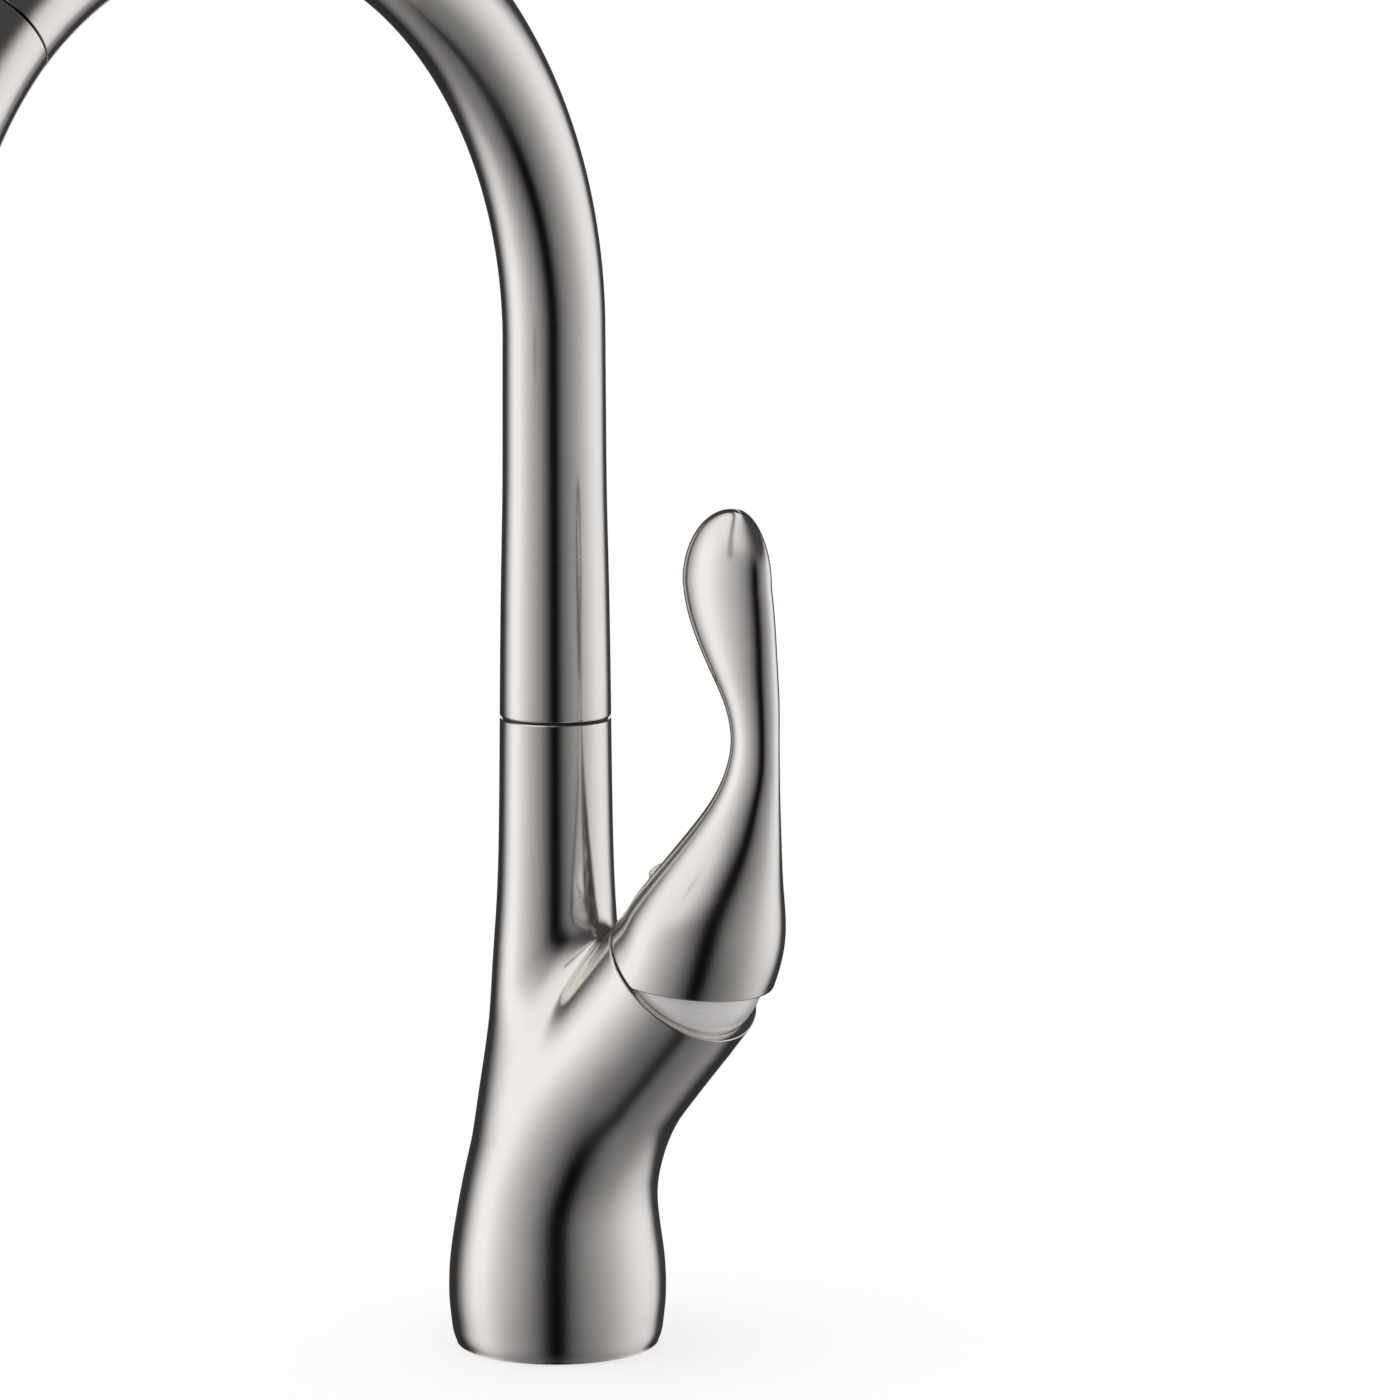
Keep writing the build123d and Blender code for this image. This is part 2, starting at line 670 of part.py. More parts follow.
with BuildPart() as spout_tube:
    with BuildSketch(Plane.XZ):
        with BuildLine():
            spout_wall = Spline(
                (spout_foot_radius, seam_height + seam_gap + spout_edge_radius),
                (spout_mid_radius, spout_mid_height),
                (spout_arch_radius, arch_start_height),
                tangents=((0, 1), (0, 1)),
            )
            RadiusArc(
                (spout_foot_radius - spout_edge_radius, seam_height + seam_gap),
                spout_wall @ 0,
                -spout_edge_radius,
            )
            Polyline(
                spout_wall @ 1,
                (0, arch_start_height),
                (0, seam_height + seam_gap),
                (spout_foot_radius - spout_edge_radius, seam_height + seam_gap),
            )
        make_face()
    revolve(axis=Axis.Z)
    with BuildLine() as arch_line:
        ThreePointArc(on_arch(0), on_arch(spout_end_angle / 2), on_arch(spout_end_angle))
    arch_path = arch_line.wire()
    with BuildSketch(across_arch(0)):
        Circle(spout_arch_radius)
    with BuildSketch(SEAM):
        Circle(spout_end_radius)
    sweep(path=arch_path, multisection=True)
    with BuildSketch(Plane.XY.offset(seam_height + seam_gap)):
        Circle(spout_bore_radius)
    extrude(amount=arch_start_height - seam_height - seam_gap, mode=Mode.SUBTRACT)
    with BuildSketch(across_arch(0)):
        Circle(spout_bore_radius)
    sweep(path=arch_path, mode=Mode.SUBTRACT)
    with BuildSketch(SEAM):
        Circle(collar_seat_radius)
    extrude(amount=-collar_length - face_gap, mode=Mode.SUBTRACT)
spout_tube.part.label = "spout_tube"
export_step(spout_tube.part, "parts/spout_tube.step")

# -------------------------------------------------------------------- swivel bearing


def ring(plane, outer, inner, height):
    """Plain ring standing on a plane, made outside any other part."""
    with BuildPart(mode=Mode.PRIVATE) as blank:
        with BuildSketch(plane):
            Circle(outer)
            Circle(inner, mode=Mode.SUBTRACT)
        extrude(amount=height)
    return blank.part


o_ring_centre_radius = neck_counterbore_radius - press_gap - o_ring_thickness / 2
glide_bore_radius = sleeve_radius + running_gap
glide_radius = neck_counterbore_radius - press_gap
sleeve_bore_radius = sleeve_radius - sleeve_wall

with BuildPart() as spout_sleeve:
    with BuildSketch(Plane.XY.offset(sleeve_bottom)):
        Circle(sleeve_radius)
        Circle(sleeve_bore_radius, mode=Mode.SUBTRACT)
    extrude(amount=sleeve_top - sleeve_bottom)
    add(
        ring(
            Plane.XY.offset(snap_ring_bottom),
            sleeve_radius + face_gap,
            sleeve_radius - snap_ring_depth,
            snap_ring_thickness + 2 * press_gap,
        ),
        mode=Mode.SUBTRACT,
    )
    add(
        ring(
            Plane.XY.offset(o_ring_height - o_ring_thickness / 2 - thread_gap),
            sleeve_radius + face_gap,
            o_ring_centre_radius - o_ring_thickness / 2 - press_gap,
            o_ring_thickness + 2 * thread_gap,
        ),
        mode=Mode.SUBTRACT,
    )
spout_sleeve.part.label = "spout_sleeve"
export_step(spout_sleeve.part, "parts/spout_sleeve.step")

with BuildPart() as upper_glide_ring:
    add(
        ring(
            Plane.XY.offset(seam_height - upper_glide_length),
            glide_radius,
            glide_bore_radius,
            upper_glide_length,
        )
    )
    add(
        ring(
            Plane.XY.offset(seam_height),
            glide_flange_radius,
            glide_bore_radius,
            seam_gap - press_gap,
        )
    )
upper_glide_ring.part.label = "upper_glide_ring"
export_step(upper_glide_ring.part, "parts/upper_glide_ring.step")

with BuildPart() as lower_glide_ring:
    add(
        ring(
            Plane.XY.offset(lower_glide_bottom),
            glide_radius,
            glide_bore_radius,
            lower_glide_length,
        )
    )
lower_glide_ring.part.label = "lower_glide_ring"
export_step(lower_glide_ring.part, "parts/lower_glide_ring.step")

with BuildPart() as spout_snap_ring:
    add(
        ring(
            Plane.XY.offset(snap_ring_bottom + press_gap),
            neck_counterbore_radius - face_gap,
            sleeve_radius - snap_ring_depth + press_gap,
            snap_ring_thickness,
        )
    )
    with BuildSketch(Plane.XY.offset(snap_ring_bottom)):
        with Locations((0, neck_counterbore_radius)):
            Rectangle(snap_ring_gap, neck_counterbore_radius)
    extrude(amount=2 * snap_ring_thickness, mode=Mode.SUBTRACT)
spout_snap_ring.part.label = "spout_snap_ring"
export_step(spout_snap_ring.part, "parts/spout_snap_ring.step")

with BuildPart() as spout_o_ring:
    with BuildSketch(Plane.XZ):
        with Locations((o_ring_centre_radius, o_ring_height)):
            Circle(o_ring_thickness / 2)
    revolve(axis=Axis.Z)
spout_o_ring.part.label = "spout_o_ring"
export_step(spout_o_ring.part, "parts/spout_o_ring.step")

with BuildPart() as hose_guide_bush:
    add(
        ring(
            Plane.XY.offset(sleeve_top - guide_bush_length),
            sleeve_bore_radius - press_gap,
            guide_bush_bore,
            guide_bush_length,
        )
    )
    add(
        ring(
            Plane.XY.offset(sleeve_top),
            sleeve_radius - face_gap,
            guide_bush_bore,
            sleeve_wall,
        )
    )
hose_guide_bush.part.label = "hose_guide_bush"
export_step(hose_guide_bush.part, "parts/hose_guide_bush.step")

with BuildPart() as dock_collar:
    with BuildSketch(SEAM.offset(-face_gap)):
        Circle(collar_seat_radius - press_gap)
        Circle(plug_radius + face_gap, mode=Mode.SUBTRACT)
    extrude(amount=-collar_length)
    chamfer(
        dock_collar.edges().filter_by(GeomType.CIRCLE).sort_by(SortBy.RADIUS)[:2],
        collar_lead_in,
    )
dock_collar.part.label = "dock_collar"
export_step(dock_collar.part, "parts/dock_collar.step")

# ------------------------------------------------------------------------------ hose

# One run from below the deck, through the neck and the arch, to the spray head
with BuildPart() as hose:
    with BuildLine() as hose_line:
        FilletPolyline(
            (-hose_offset, 0, hose_bottom),
            hose_low,
            hose_high,
            on_arch(0),
            radius=hose_bend_radius,
        )
        ThreePointArc(on_arch(0), on_arch(spout_end_angle / 2), on_arch(spout_end_angle))
        Line(SEAM.origin, SEAM.offset(hose_into_head).origin)
    hose_path = hose_line.wire()
    with BuildSketch(Plane((-hose_offset, 0, hose_bottom), z_dir=(0, 0, 1))):
        Circle(hose_radius)
        Circle(hose_bore_radius, mode=Mode.SUBTRACT)
    sweep(path=hose_path)
hose.part.label = "hose"
export_step(hose.part, "parts/hose.step")
hose_section = pi * (hose_radius**2 - hose_bore_radius**2)
print("hose bend radii", hose_bend_radius, arch_radius)
print("hose length", hose_path.length)
print("hose volume ratio", hose.part.volume / (hose_section * hose_path.length))

with BuildPart() as hose_end_nipple:
    hose_end = Plane((-hose_offset, 0, hose_bottom), z_dir=(0, 0, 1))
    with BuildSketch(hose_end):
        Circle(hose_radius - press_gap)
        Circle(nipple_bore_radius, mode=Mode.SUBTRACT)
    extrude(amount=-hose_end_nipple_length)
    with BuildSketch(hose_end):
        Circle(hose_bore_radius - press_gap)
        Circle(nipple_bore_radius, mode=Mode.SUBTRACT)
    extrude(amount=hose_end_insert)
    with BuildSketch(hose_end.offset(-hose_end_nipple_length / 2)):
        Circle(hose_radius)
        Circle(hose_radius - nipple_groove_depth, mode=Mode.SUBTRACT)
    extrude(amount=-nipple_groove_width, mode=Mode.SUBTRACT)
hose_end_nipple.part.label = "hose_end_nipple"
export_step(hose_end_nipple.part, "parts/hose_end_nipple.step")

# ------------------------------------------------------------------------- cartridge

with BuildPart() as port_seals:
    with BuildSketch(at_branch(cartridge_floor_top)):
        with Locations(*port_places):
            Circle(port_radius + seal_width)
            Circle(port_radius, mode=Mode.SUBTRACT)
    extrude(amount=seal_thickness)
port_seals.part.label = "port_seals"
export_step(port_seals.part, "parts/port_seals.step")

with BuildPart() as cartridge_base:
    with BuildSketch(at_branch(base_disc_bottom)):
        Circle(housing_radius)
    extrude(amount=cartridge_base_thickness)
    with BuildSketch(at_branch(base_disc_bottom)):
        with Locations(*port_places):
            Circle(port_radius)
    extrude(amount=cartridge_base_thickness, mode=Mode.SUBTRACT)
    with BuildSketch(at_branch(base_disc_bottom)):
        with Locations(*port_places):
            Circle(port_radius + seal_width + press_gap)
    extrude(amount=seal_thickness, mode=Mode.SUBTRACT)
cartridge_base.part.label = "cartridge_base"
export_step(cartridge_base.part, "parts/cartridge_base.step")

with BuildPart() as fixed_disc:
    with BuildSketch(at_branch(base_disc_top)):
        Circle(housing_bore_radius - press_gap)
        with Locations(*port_places):
            Circle(port_radius - press_gap, mode=Mode.SUBTRACT)
    extrude(amount=fixed_disc_thickness)
fixed_disc.part.label = "fixed_disc"
export_step(fixed_disc.part, "parts/fixed_disc.step")

with BuildPart() as moving_disc:
    with BuildSketch(at_branch(moving_disc_bottom)):
        Circle(moving_disc_radius)
    extrude(amount=moving_disc_thickness)
    with BuildSketch(at_branch(moving_disc_bottom)):
        with Locations((mixing_pocket_shift, 0)):
            SlotOverall(mixing_pocket_length, mixing_pocket_width, rotation=90)
    extrude(amount=mixing_pocket_depth, mode=Mode.SUBTRACT)
moving_disc.part.label = "moving_disc"
export_step(moving_disc.part, "parts/moving_disc.step")

with BuildPart() as disc_carrier:
    with BuildSketch(at_branch(moving_disc_top)):
        Circle(moving_disc_radius)
    extrude(amount=carrier_thickness)
    with BuildSketch(at_branch(moving_disc_top + carrier_floor)):
        Rectangle(2 * stem_foot_radius + 2 * stem_pocket_gap, stem_slot_width)
    extrude(amount=carrier_thickness, mode=Mode.SUBTRACT)
disc_carrier.part.label = "disc_carrier"
export_step(disc_carrier.part, "parts/disc_carrier.step")

with BuildPart() as cartridge_rotor:
    with BuildSketch(at_branch(rotor_bottom)):
        Circle(housing_bore_radius - 2 * running_gap)
    extrude(amount=rotor_flange_thickness)
    with BuildSketch(at_branch(rotor_step)):
        Circle(rotor_radius)
    extrude(amount=rotor_top - rotor_step)
    # The slot in which the stem rocks
    with BuildSketch(BRANCH_SIDE):
        with BuildLine():
            Polyline(
                (-rotor_foot_room, rotor_bottom),
                (-stem_waist_room, pivot_height - stem_waist_room),
                (-rotor_radius * 2, rotor_top),
                (rotor_radius * 2, rotor_top),
                (stem_waist_room, pivot_height - stem_waist_room),
                (rotor_foot_room, rotor_bottom),
                close=True,
            )
        make_face()
    extrude(amount=stem_slot_width / 2, both=True, mode=Mode.SUBTRACT)
    with BuildSketch(BRANCH_SIDE):
        with Locations((0, pivot_height)):
            Circle(pivot_pin_radius + press_gap)
    extrude(amount=rotor_radius, both=True, mode=Mode.SUBTRACT)
cartridge_rotor.part.label = "cartridge_rotor"
export_step(cartridge_rotor.part, "parts/cartridge_rotor.step")

with BuildPart() as stem_pin:
    with BuildSketch(BRANCH_SIDE):
        with Locations((0, pivot_height)):
            Circle(pivot_pin_radius)
    extrude(amount=pivot_pin_length / 2, both=True)
stem_pin.part.label = "stem_pin"
export_step(stem_pin.part, "parts/stem_pin.step")

with BuildPart() as cartridge_stem:
    with BuildSketch(at_branch(pivot_height - stem_half_width)):
        Rectangle(2 * stem_half_width, 2 * stem_half_width)
    extrude(amount=stem_top - pivot_height + stem_half_width)
    with BuildSketch(BRANCH_SIDE):
        with Locations((0, pivot_height)):
            Circle(stem_half_width + face_gap)
    extrude(amount=stem_slot_width / 2 - face_gap, both=True)
    with BuildSketch(at_branch(stem_bottom)):
        Rectangle(2 * stem_foot_radius, 2 * stem_half_width)
    with BuildSketch(at_branch(pivot_height - stem_half_width)):
        Rectangle(2 * stem_half_width, 2 * stem_half_width)
    loft()
    with BuildSketch(BRANCH_SIDE):
        with Locations((0, pivot_height)):
            Circle(pivot_pin_radius + running_gap)
    extrude(amount=rotor_radius, both=True, mode=Mode.SUBTRACT)
cartridge_stem.part.label = "cartridge_stem"
export_step(cartridge_stem.part, "parts/cartridge_stem.step")

with BuildPart() as cartridge_housing:
    with BuildSketch(at_branch(base_disc_top)):
        Circle(housing_radius)
    extrude(amount=housing_shoulder - base_disc_top)
    with BuildSketch(at_branch(housing_shoulder)):
        Circle(housing_neck_radius)
    extrude(amount=housing_top - housing_shoulder)
    with BuildSketch(at_branch(base_disc_top)):
        Circle(housing_bore_radius)
    extrude(amount=rotor_step + disc_gap - base_disc_top, mode=Mode.SUBTRACT)
    with BuildSketch(at_branch(base_disc_top)):
        Circle(housing_neck_bore)
    extrude(amount=housing_top - base_disc_top, mode=Mode.SUBTRACT)
cartridge_housing.part.label = "cartridge_housing"
export_step(cartridge_housing.part, "parts/cartridge_housing.step")

with BuildPart() as cartridge_nut:
    with BuildSketch(at_branch(housing_shoulder + disc_gap)):
        Circle(nut_thread_radius - thread_gap)
    extrude(amount=branch_length - housing_shoulder - 2 * disc_gap)
    with BuildSketch(at_branch(branch_length - 2 * disc_gap)):
        RegularPolygon(cartridge_nut_hex_radius, side_count=6)
    extrude(amount=cartridge_nut_top - branch_length)
    with BuildSketch(at_branch(housing_shoulder)):
        Circle(housing_neck_radius + press_gap)
    extrude(amount=cartridge_nut_top - housing_shoulder, mode=Mode.SUBTRACT)
cartridge_nut.part.label = "cartridge_nut"
export_step(cartridge_nut.part, "parts/cartridge_nut.step")

# Dome ring around the cartridge, round about the lever's pivot
with BuildPart() as dome_ring:
    with BuildSketch(BRANCH_SIDE):
        with Locations((0, pivot_height)):
            Circle(dome_radius)
            Circle(dome_radius - dome_wall, mode=Mode.SUBTRACT)
        with Locations((dome_radius, (branch_length + dome_top) / 2)):
            Rectangle(2 * dome_radius, dome_top - branch_length, mode=Mode.INTERSECT)
    revolve(axis=Axis(BRANCH.origin, BRANCH.z_dir))
dome_ring.part.label = "dome_ring"
export_step(dome_ring.part, "parts/dome_ring.step")

# ---------------------------------------------------------------------------- handle


def handle_hollow():
    """Hollow that clears the dome, with the boss that grips the stem left in it."""
    with BuildPart(mode=Mode.PRIVATE) as blank:
        with BuildSketch(BRANCH_SIDE):
            with Locations((0, pivot_height)):
                Circle(cavity_radius)
            with Locations((cavity_radius, pivot_height)):
                Rectangle(2 * cavity_radius, 2 * cavity_radius, mode=Mode.INTERSECT)
        revolve(axis=Axis(BRANCH.origin, BRANCH.z_dir))
        with BuildSketch(at_branch(handle_boss_bottom)):
            Circle(handle_boss_radius)
        extrude(amount=cavity_radius, mode=Mode.SUBTRACT)
    return blank.part


with BuildPart() as handle:
    with BuildSketch(at_branch(skirt_bottom - handle_cavity_clearance)):
        Circle(handle_skirt_radius)
    with BuildSketch(at_branch(pivot_height + handle_skirt_rise)):
        Circle(handle_skirt_radius)
    for rise, reach, lean, half_width, half_thickness in lever_sections:
        leaned = Plane(
            origin=on_branch(pivot_height) + Vector(reach, 0, rise),
            x_dir=(cos(radians(lean)), 0, -sin(radians(lean))),
            z_dir=(sin(radians(lean)), 0, cos(radians(lean))),
        )
        with BuildSketch(leaned):
            Ellipse(half_width, half_thickness)
    loft()
    add(handle_hollow(), mode=Mode.SUBTRACT)
    with BuildSketch(at_branch(handle_boss_bottom)):
        Rectangle(2 * stem_half_width + 2 * press_gap, 2 * stem_half_width + 2 * press_gap)
    extrude(amount=stem_top + face_gap - handle_boss_bottom, mode=Mode.SUBTRACT)
    # Lower edge: square to the branch on the neck's side, open on the outer side
    with BuildSketch(at_branch(skirt_bottom)):
        Circle(2 * handle_skirt_radius)
    extrude(amount=-handle_skirt_radius, mode=Mode.SUBTRACT)
    with BuildSketch(skirt_cut):
        Rectangle(4 * handle_skirt_radius, 4 * handle_skirt_radius, align=(Align.MIN, Align.CENTER))
    extrude(amount=-handle_skirt_radius, mode=Mode.SUBTRACT)
    # Passage of the set screw, with the seat of its plug
    with BuildSketch(SCREW_WAY.offset(stem_half_width)):
        Circle(set_screw_radius + press_gap)
    extrude(amount=2 * handle_skirt_radius, mode=Mode.SUBTRACT)
    with BuildSketch(SCREW_WAY.offset(plug_seat)):
        Circle(index_plug_radius + press_gap)
    extrude(amount=handle_skirt_radius, mode=Mode.SUBTRACT)
handle.part.label = "handle"
export_step(handle.part, "parts/handle.step")

with BuildPart() as handle_set_screw:
    with BuildSketch(SCREW_WAY.offset(stem_half_width + press_gap)):
        Circle(set_screw_radius)
    extrude(amount=set_screw_length)
    with BuildSketch(SCREW_WAY.offset(stem_half_width + press_gap + set_screw_length)):
        RegularPolygon(set_screw_socket_radius, side_count=6)
    extrude(amount=-set_screw_socket_depth, mode=Mode.SUBTRACT)
handle_set_screw.part.label = "handle_set_screw"
export_step(handle_set_screw.part, "parts/handle_set_screw.step")

with BuildPart() as handle_index_plug:
    with BuildSketch(SCREW_WAY.offset(plug_seat)):
        Circle(index_plug_radius)
    extrude(amount=index_plug_depth)
    with BuildSketch(SCREW_WAY.offset(plug_seat + index_plug_depth)):
        Circle(index_plug_radius)
    extrude(amount=index_plug_rise, taper=index_plug_taper)
handle_index_plug.part.label = "handle_index_plug"
export_step(handle_index_plug.part, "parts/handle_index_plug.step")

# ------------------------------------------------------------------------ spray head


def head_solid(shrink, length):
    """Head along its bend and straight part, smaller by the shrink all round."""
    with BuildPart(mode=Mode.PRIVATE) as blank:
        with BuildLine():
            ThreePointArc(
                on_arch(spout_end_angle),
                on_arch((spout_end_angle + head_bend_end) / 2),
                on_arch(head_bend_end),
            )
        with BuildSketch(SEAM):
            Circle(spout_end_radius - shrink)
        with BuildSketch(MOUTH):
            Circle(head_waist_radius - shrink)
        sweep(multisection=True)
        with BuildSketch(MOUTH):
            Circle(head_waist_radius - shrink)
        with BuildSketch(on_mouth(length)):
            Circle(head_mouth_radius - shrink)
        loft()
    return blank.part


with BuildPart() as spray_head_shell:
    add(head_solid(0, head_straight))
    fillet(spray_head_shell.edges().group_by(Axis(MOUTH.origin, MOUTH.z_dir))[-1], head_mouth_fillet)
    add(head_solid(head_wall, head_straight), mode=Mode.SUBTRACT)
    with BuildSketch(ROCKER):
        RectangleRounded(
            rocker_width + 2 * rocker_side_gap,
            rocker_length + 2 * rocker_end_gap,
            rocker_width / 2,
        )
    extrude(amount=head_mouth_radius, mode=Mode.SUBTRACT)
spray_head_shell.part.label = "spray_head_shell"
export_step(spray_head_shell.part, "parts/spray_head_shell.step")

with BuildPart() as head_waterway:
    # Plug that docks in the spout, and the bent tube after it
    with BuildSketch(SEAM.offset(-plug_length)):
        Circle(plug_radius)
    extrude(amount=plug_length)
    chamfer(head_waterway.edges().group_by(Axis(SEAM.origin, SEAM.z_dir))[0], collar_lead_in)
    with BuildLine():
        ThreePointArc(
            on_arch(spout_end_angle),
            on_arch((spout_end_angle + head_bend_end) / 2),
            on_arch(head_bend_end),
        )
    with BuildSketch(SEAM):
        Circle(waterway_radius)
    sweep()
    with BuildSketch(SEAM.offset(face_gap)):
        Circle(spout_end_radius - head_wall - press_gap)
    extrude(amount=waterway_flange)
    # Chamber and the cup behind the nozzles
    with BuildSketch(MOUTH):
        Circle(chamber_radius)
    extrude(amount=cup_start)
    with BuildSketch(on_mouth(cup_start)):
        Circle(cup_radius)
    extrude(amount=plate_top - press_gap - cup_start)
    with BuildSketch(on_mouth(cup_start + cup_wall)):
        Circle(cup_radius - cup_wall)
    extrude(amount=head_straight, mode=Mode.SUBTRACT)
    with BuildSketch(on_mouth(chamber_start)):
        Circle(chamber_radius - chamber_wall)
    extrude(amount=head_straight, mode=Mode.SUBTRACT)
    with BuildLine():
        ThreePointArc(
            on_arch(spout_end_angle),
            on_arch((spout_end_angle + head_bend_end) / 2),
            on_arch(head_bend_end),
        )
        Line(MOUTH.origin, on_mouth(chamber_start).origin)
    with BuildSketch(SEAM):
        Circle(waterway_bore_radius)
    sweep(mode=Mode.SUBTRACT)
    with BuildSketch(SEAM.offset(-plug_length)):
        Circle(plug_bore_radius)
    extrude(amount=plug_length + plug_bore_depth, mode=Mode.SUBTRACT)
    # Ears for the rocker's pin, and the hole for the spool
    for ear_side in (-1, 1):
        ear_x = ear_side * (rocker_hub_width / 2 + press_gap + ear_thickness / 2)
        with BuildSketch(ROCKER):
            with Locations((ear_x, 0)):
                Rectangle(ear_thickness, ear_width)
        extrude(amount=-ear_drop)
        with BuildSketch(ROCKER):
            with Locations((ear_x, 0)):
                Rectangle(ear_thickness, ear_width)
        extrude(amount=ear_rise)
    with BuildSketch(Plane(ROCKER.origin, x_dir=ROCKER.y_dir, z_dir=(1, 0, 0))):
        Circle(rocker_pin_radius + press_gap / 2)
    extrude(amount=chamber_radius, both=True, mode=Mode.SUBTRACT)
    with BuildSketch(ROCKER):
        with Locations((0, -spool_offset)):
            Circle(spool_radius + running_gap)
    extrude(amount=-chamber_radius / 2, mode=Mode.SUBTRACT)
head_waterway.part.label = "head_waterway"
export_step(head_waterway.part, "parts/head_waterway.step")

with BuildPart() as mode_rocker:
    with BuildSketch(ROCKER_REST.offset(rocker_slab_base)):
        RectangleRounded(rocker_width, rocker_length, rocker_width / 2 - press_gap)
    extrude(amount=rocker_slab_top - rocker_slab_base)
    rocker_rim = mode_rocker.edges().group_by(Axis(ROCKER_REST.origin, ROCKER_REST.z_dir))[-1]
    fillet(rocker_rim, rocker_edge_radius)
    with BuildSketch(ROCKER_REST):
        Rectangle(rocker_hub_width, 2 * rocker_hub_radius)
    extrude(amount=rocker_slab_base)
    with BuildSketch(Plane(ROCKER.origin, x_dir=ROCKER.y_dir, z_dir=(1, 0, 0))):
        Circle(rocker_hub_radius)
    extrude(amount=rocker_hub_width / 2, both=True)
    with BuildSketch(Plane(ROCKER.origin, x_dir=ROCKER.y_dir, z_dir=(1, 0, 0))):
        Circle(rocker_pin_radius + running_gap)
    extrude(amount=rocker_width, both=True, mode=Mode.SUBTRACT)
mode_rocker.part.label = "mode_rocker"
export_step(mode_rocker.part, "parts/mode_rocker.step")

with BuildPart() as rocker_pin:
    with BuildSketch(Plane(ROCKER.origin, x_dir=ROCKER.y_dir, z_dir=(1, 0, 0))):
        Circle(rocker_pin_radius)
    extrude(amount=rocker_hub_width / 2 + ear_thickness, both=True)
rocker_pin.part.label = "rocker_pin"
export_step(rocker_pin.part, "parts/rocker_pin.step")

with BuildPart() as diverter_spool:
    with BuildSketch(ROCKER.offset(spool_top)):
        with Locations((0, -spool_offset)):
            Circle(spool_radius)
    extrude(amount=-spool_length)
diverter_spool.part.label = "diverter_spool"
export_step(diverter_spool.part, "parts/diverter_spool.step")

with BuildPart() as hose_ferrule:
    with BuildSketch(SEAM.offset(hose_into_head)):
        Circle(ferrule_radius)
        Circle(hose_radius + press_gap, mode=Mode.SUBTRACT)
    extrude(amount=-ferrule_length)
hose_ferrule.part.label = "hose_ferrule"
export_step(hose_ferrule.part, "parts/hose_ferrule.step")

with BuildPart() as hose_swivel_nut:
    with BuildSketch(SEAM.offset(hose_into_head)):
        Circle(plug_bore_radius - press_gap)
        Circle(hose_bore_radius, mode=Mode.SUBTRACT)
    extrude(amount=swivel_nut_length)
hose_swivel_nut.part.label = "hose_swivel_nut"
export_step(hose_swivel_nut.part, "parts/hose_swivel_nut.step")

with BuildPart() as check_valve:
    with BuildSketch(CHECK):
        Circle(waterway_bore_radius - check_valve_gap)
        with PolarLocations(check_valve_port_circle, check_valve_ports):
            Circle(check_valve_port_radius, mode=Mode.SUBTRACT)
    extrude(amount=check_valve_length / 2, both=True)
check_valve.part.label = "check_valve"
export_step(check_valve.part, "parts/check_valve.step")

with BuildPart() as nozzle_plate:
    with BuildSketch(on_mouth(plate_top)):
        Circle(plate_radius)
        Circle(aerator_radius + press_gap, mode=Mode.SUBTRACT)
    extrude(amount=face_plate_thickness)
    for circle_radius, hole_count in nozzle_rows:
        with BuildSketch(on_mouth(plate_top)):
            with PolarLocations(circle_radius, hole_count):
                Circle(nozzle_radius + press_gap)
        extrude(amount=face_plate_thickness, mode=Mode.SUBTRACT)
nozzle_plate.part.label = "nozzle_plate"
export_step(nozzle_plate.part, "parts/nozzle_plate.step")

with BuildPart() as nozzle_membrane:
    with BuildSketch(on_mouth(plate_top)):
        Circle(cup_radius - cup_wall - press_gap)
        Circle(aerator_radius + press_gap, mode=Mode.SUBTRACT)
    extrude(amount=-membrane_thickness)
    for circle_radius, hole_count in nozzle_rows:
        with BuildSketch(on_mouth(plate_top - membrane_thickness)):
            with PolarLocations(circle_radius, hole_count):
                Circle(nozzle_radius)
        extrude(amount=membrane_thickness + face_plate_thickness + nozzle_rise)
        with BuildSketch(on_mouth(plate_top - membrane_thickness)):
            with PolarLocations(circle_radius, hole_count):
                Circle(nozzle_radius / 2)
        extrude(
            amount=membrane_thickness + face_plate_thickness + nozzle_rise,
            mode=Mode.SUBTRACT,
        )
nozzle_membrane.part.label = "nozzle_membrane"
export_step(nozzle_membrane.part, "parts/nozzle_membrane.step")

with BuildPart() as aerator_cage:
    with BuildSketch(on_mouth(aerator_top)):
        Circle(aerator_radius)
    extrude(amount=aerator_length)
    with BuildSketch(on_mouth(aerator_top)):
        Circle(aerator_radius - aerator_wall)
    extrude(amount=aerator_length, mode=Mode.SUBTRACT)
aerator_cage.part.label = "aerator_cage"
export_step(aerator_cage.part, "parts/aerator_cage.step")

with BuildPart() as aerator_screen:
    with BuildSketch(on_mouth(aerator_top + aerator_length - 2 * aerator_wall)):
        Circle(aerator_radius - aerator_wall - press_gap / 2)
        with GridLocations(screen_pitch, screen_pitch, screen_holes, screen_holes):
            Rectangle(screen_pitch - screen_rib, screen_pitch - screen_rib, mode=Mode.SUBTRACT)
    extrude(amount=aerator_wall)
aerator_screen.part.label = "aerator_screen"
export_step(aerator_screen.part, "parts/aerator_screen.step")
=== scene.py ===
"""Looks of a pull-down kitchen faucet with a swivelling gooseneck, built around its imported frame.

Metres, +Z up. The foot stands on the deck at z = 0, the spout reaches toward -Y and the lever's
branch leans toward +X.
"""

import json
import logging
import math
from collections.abc import Iterator, Sequence
from contextlib import contextmanager
from dataclasses import dataclass, field
from enum import Enum

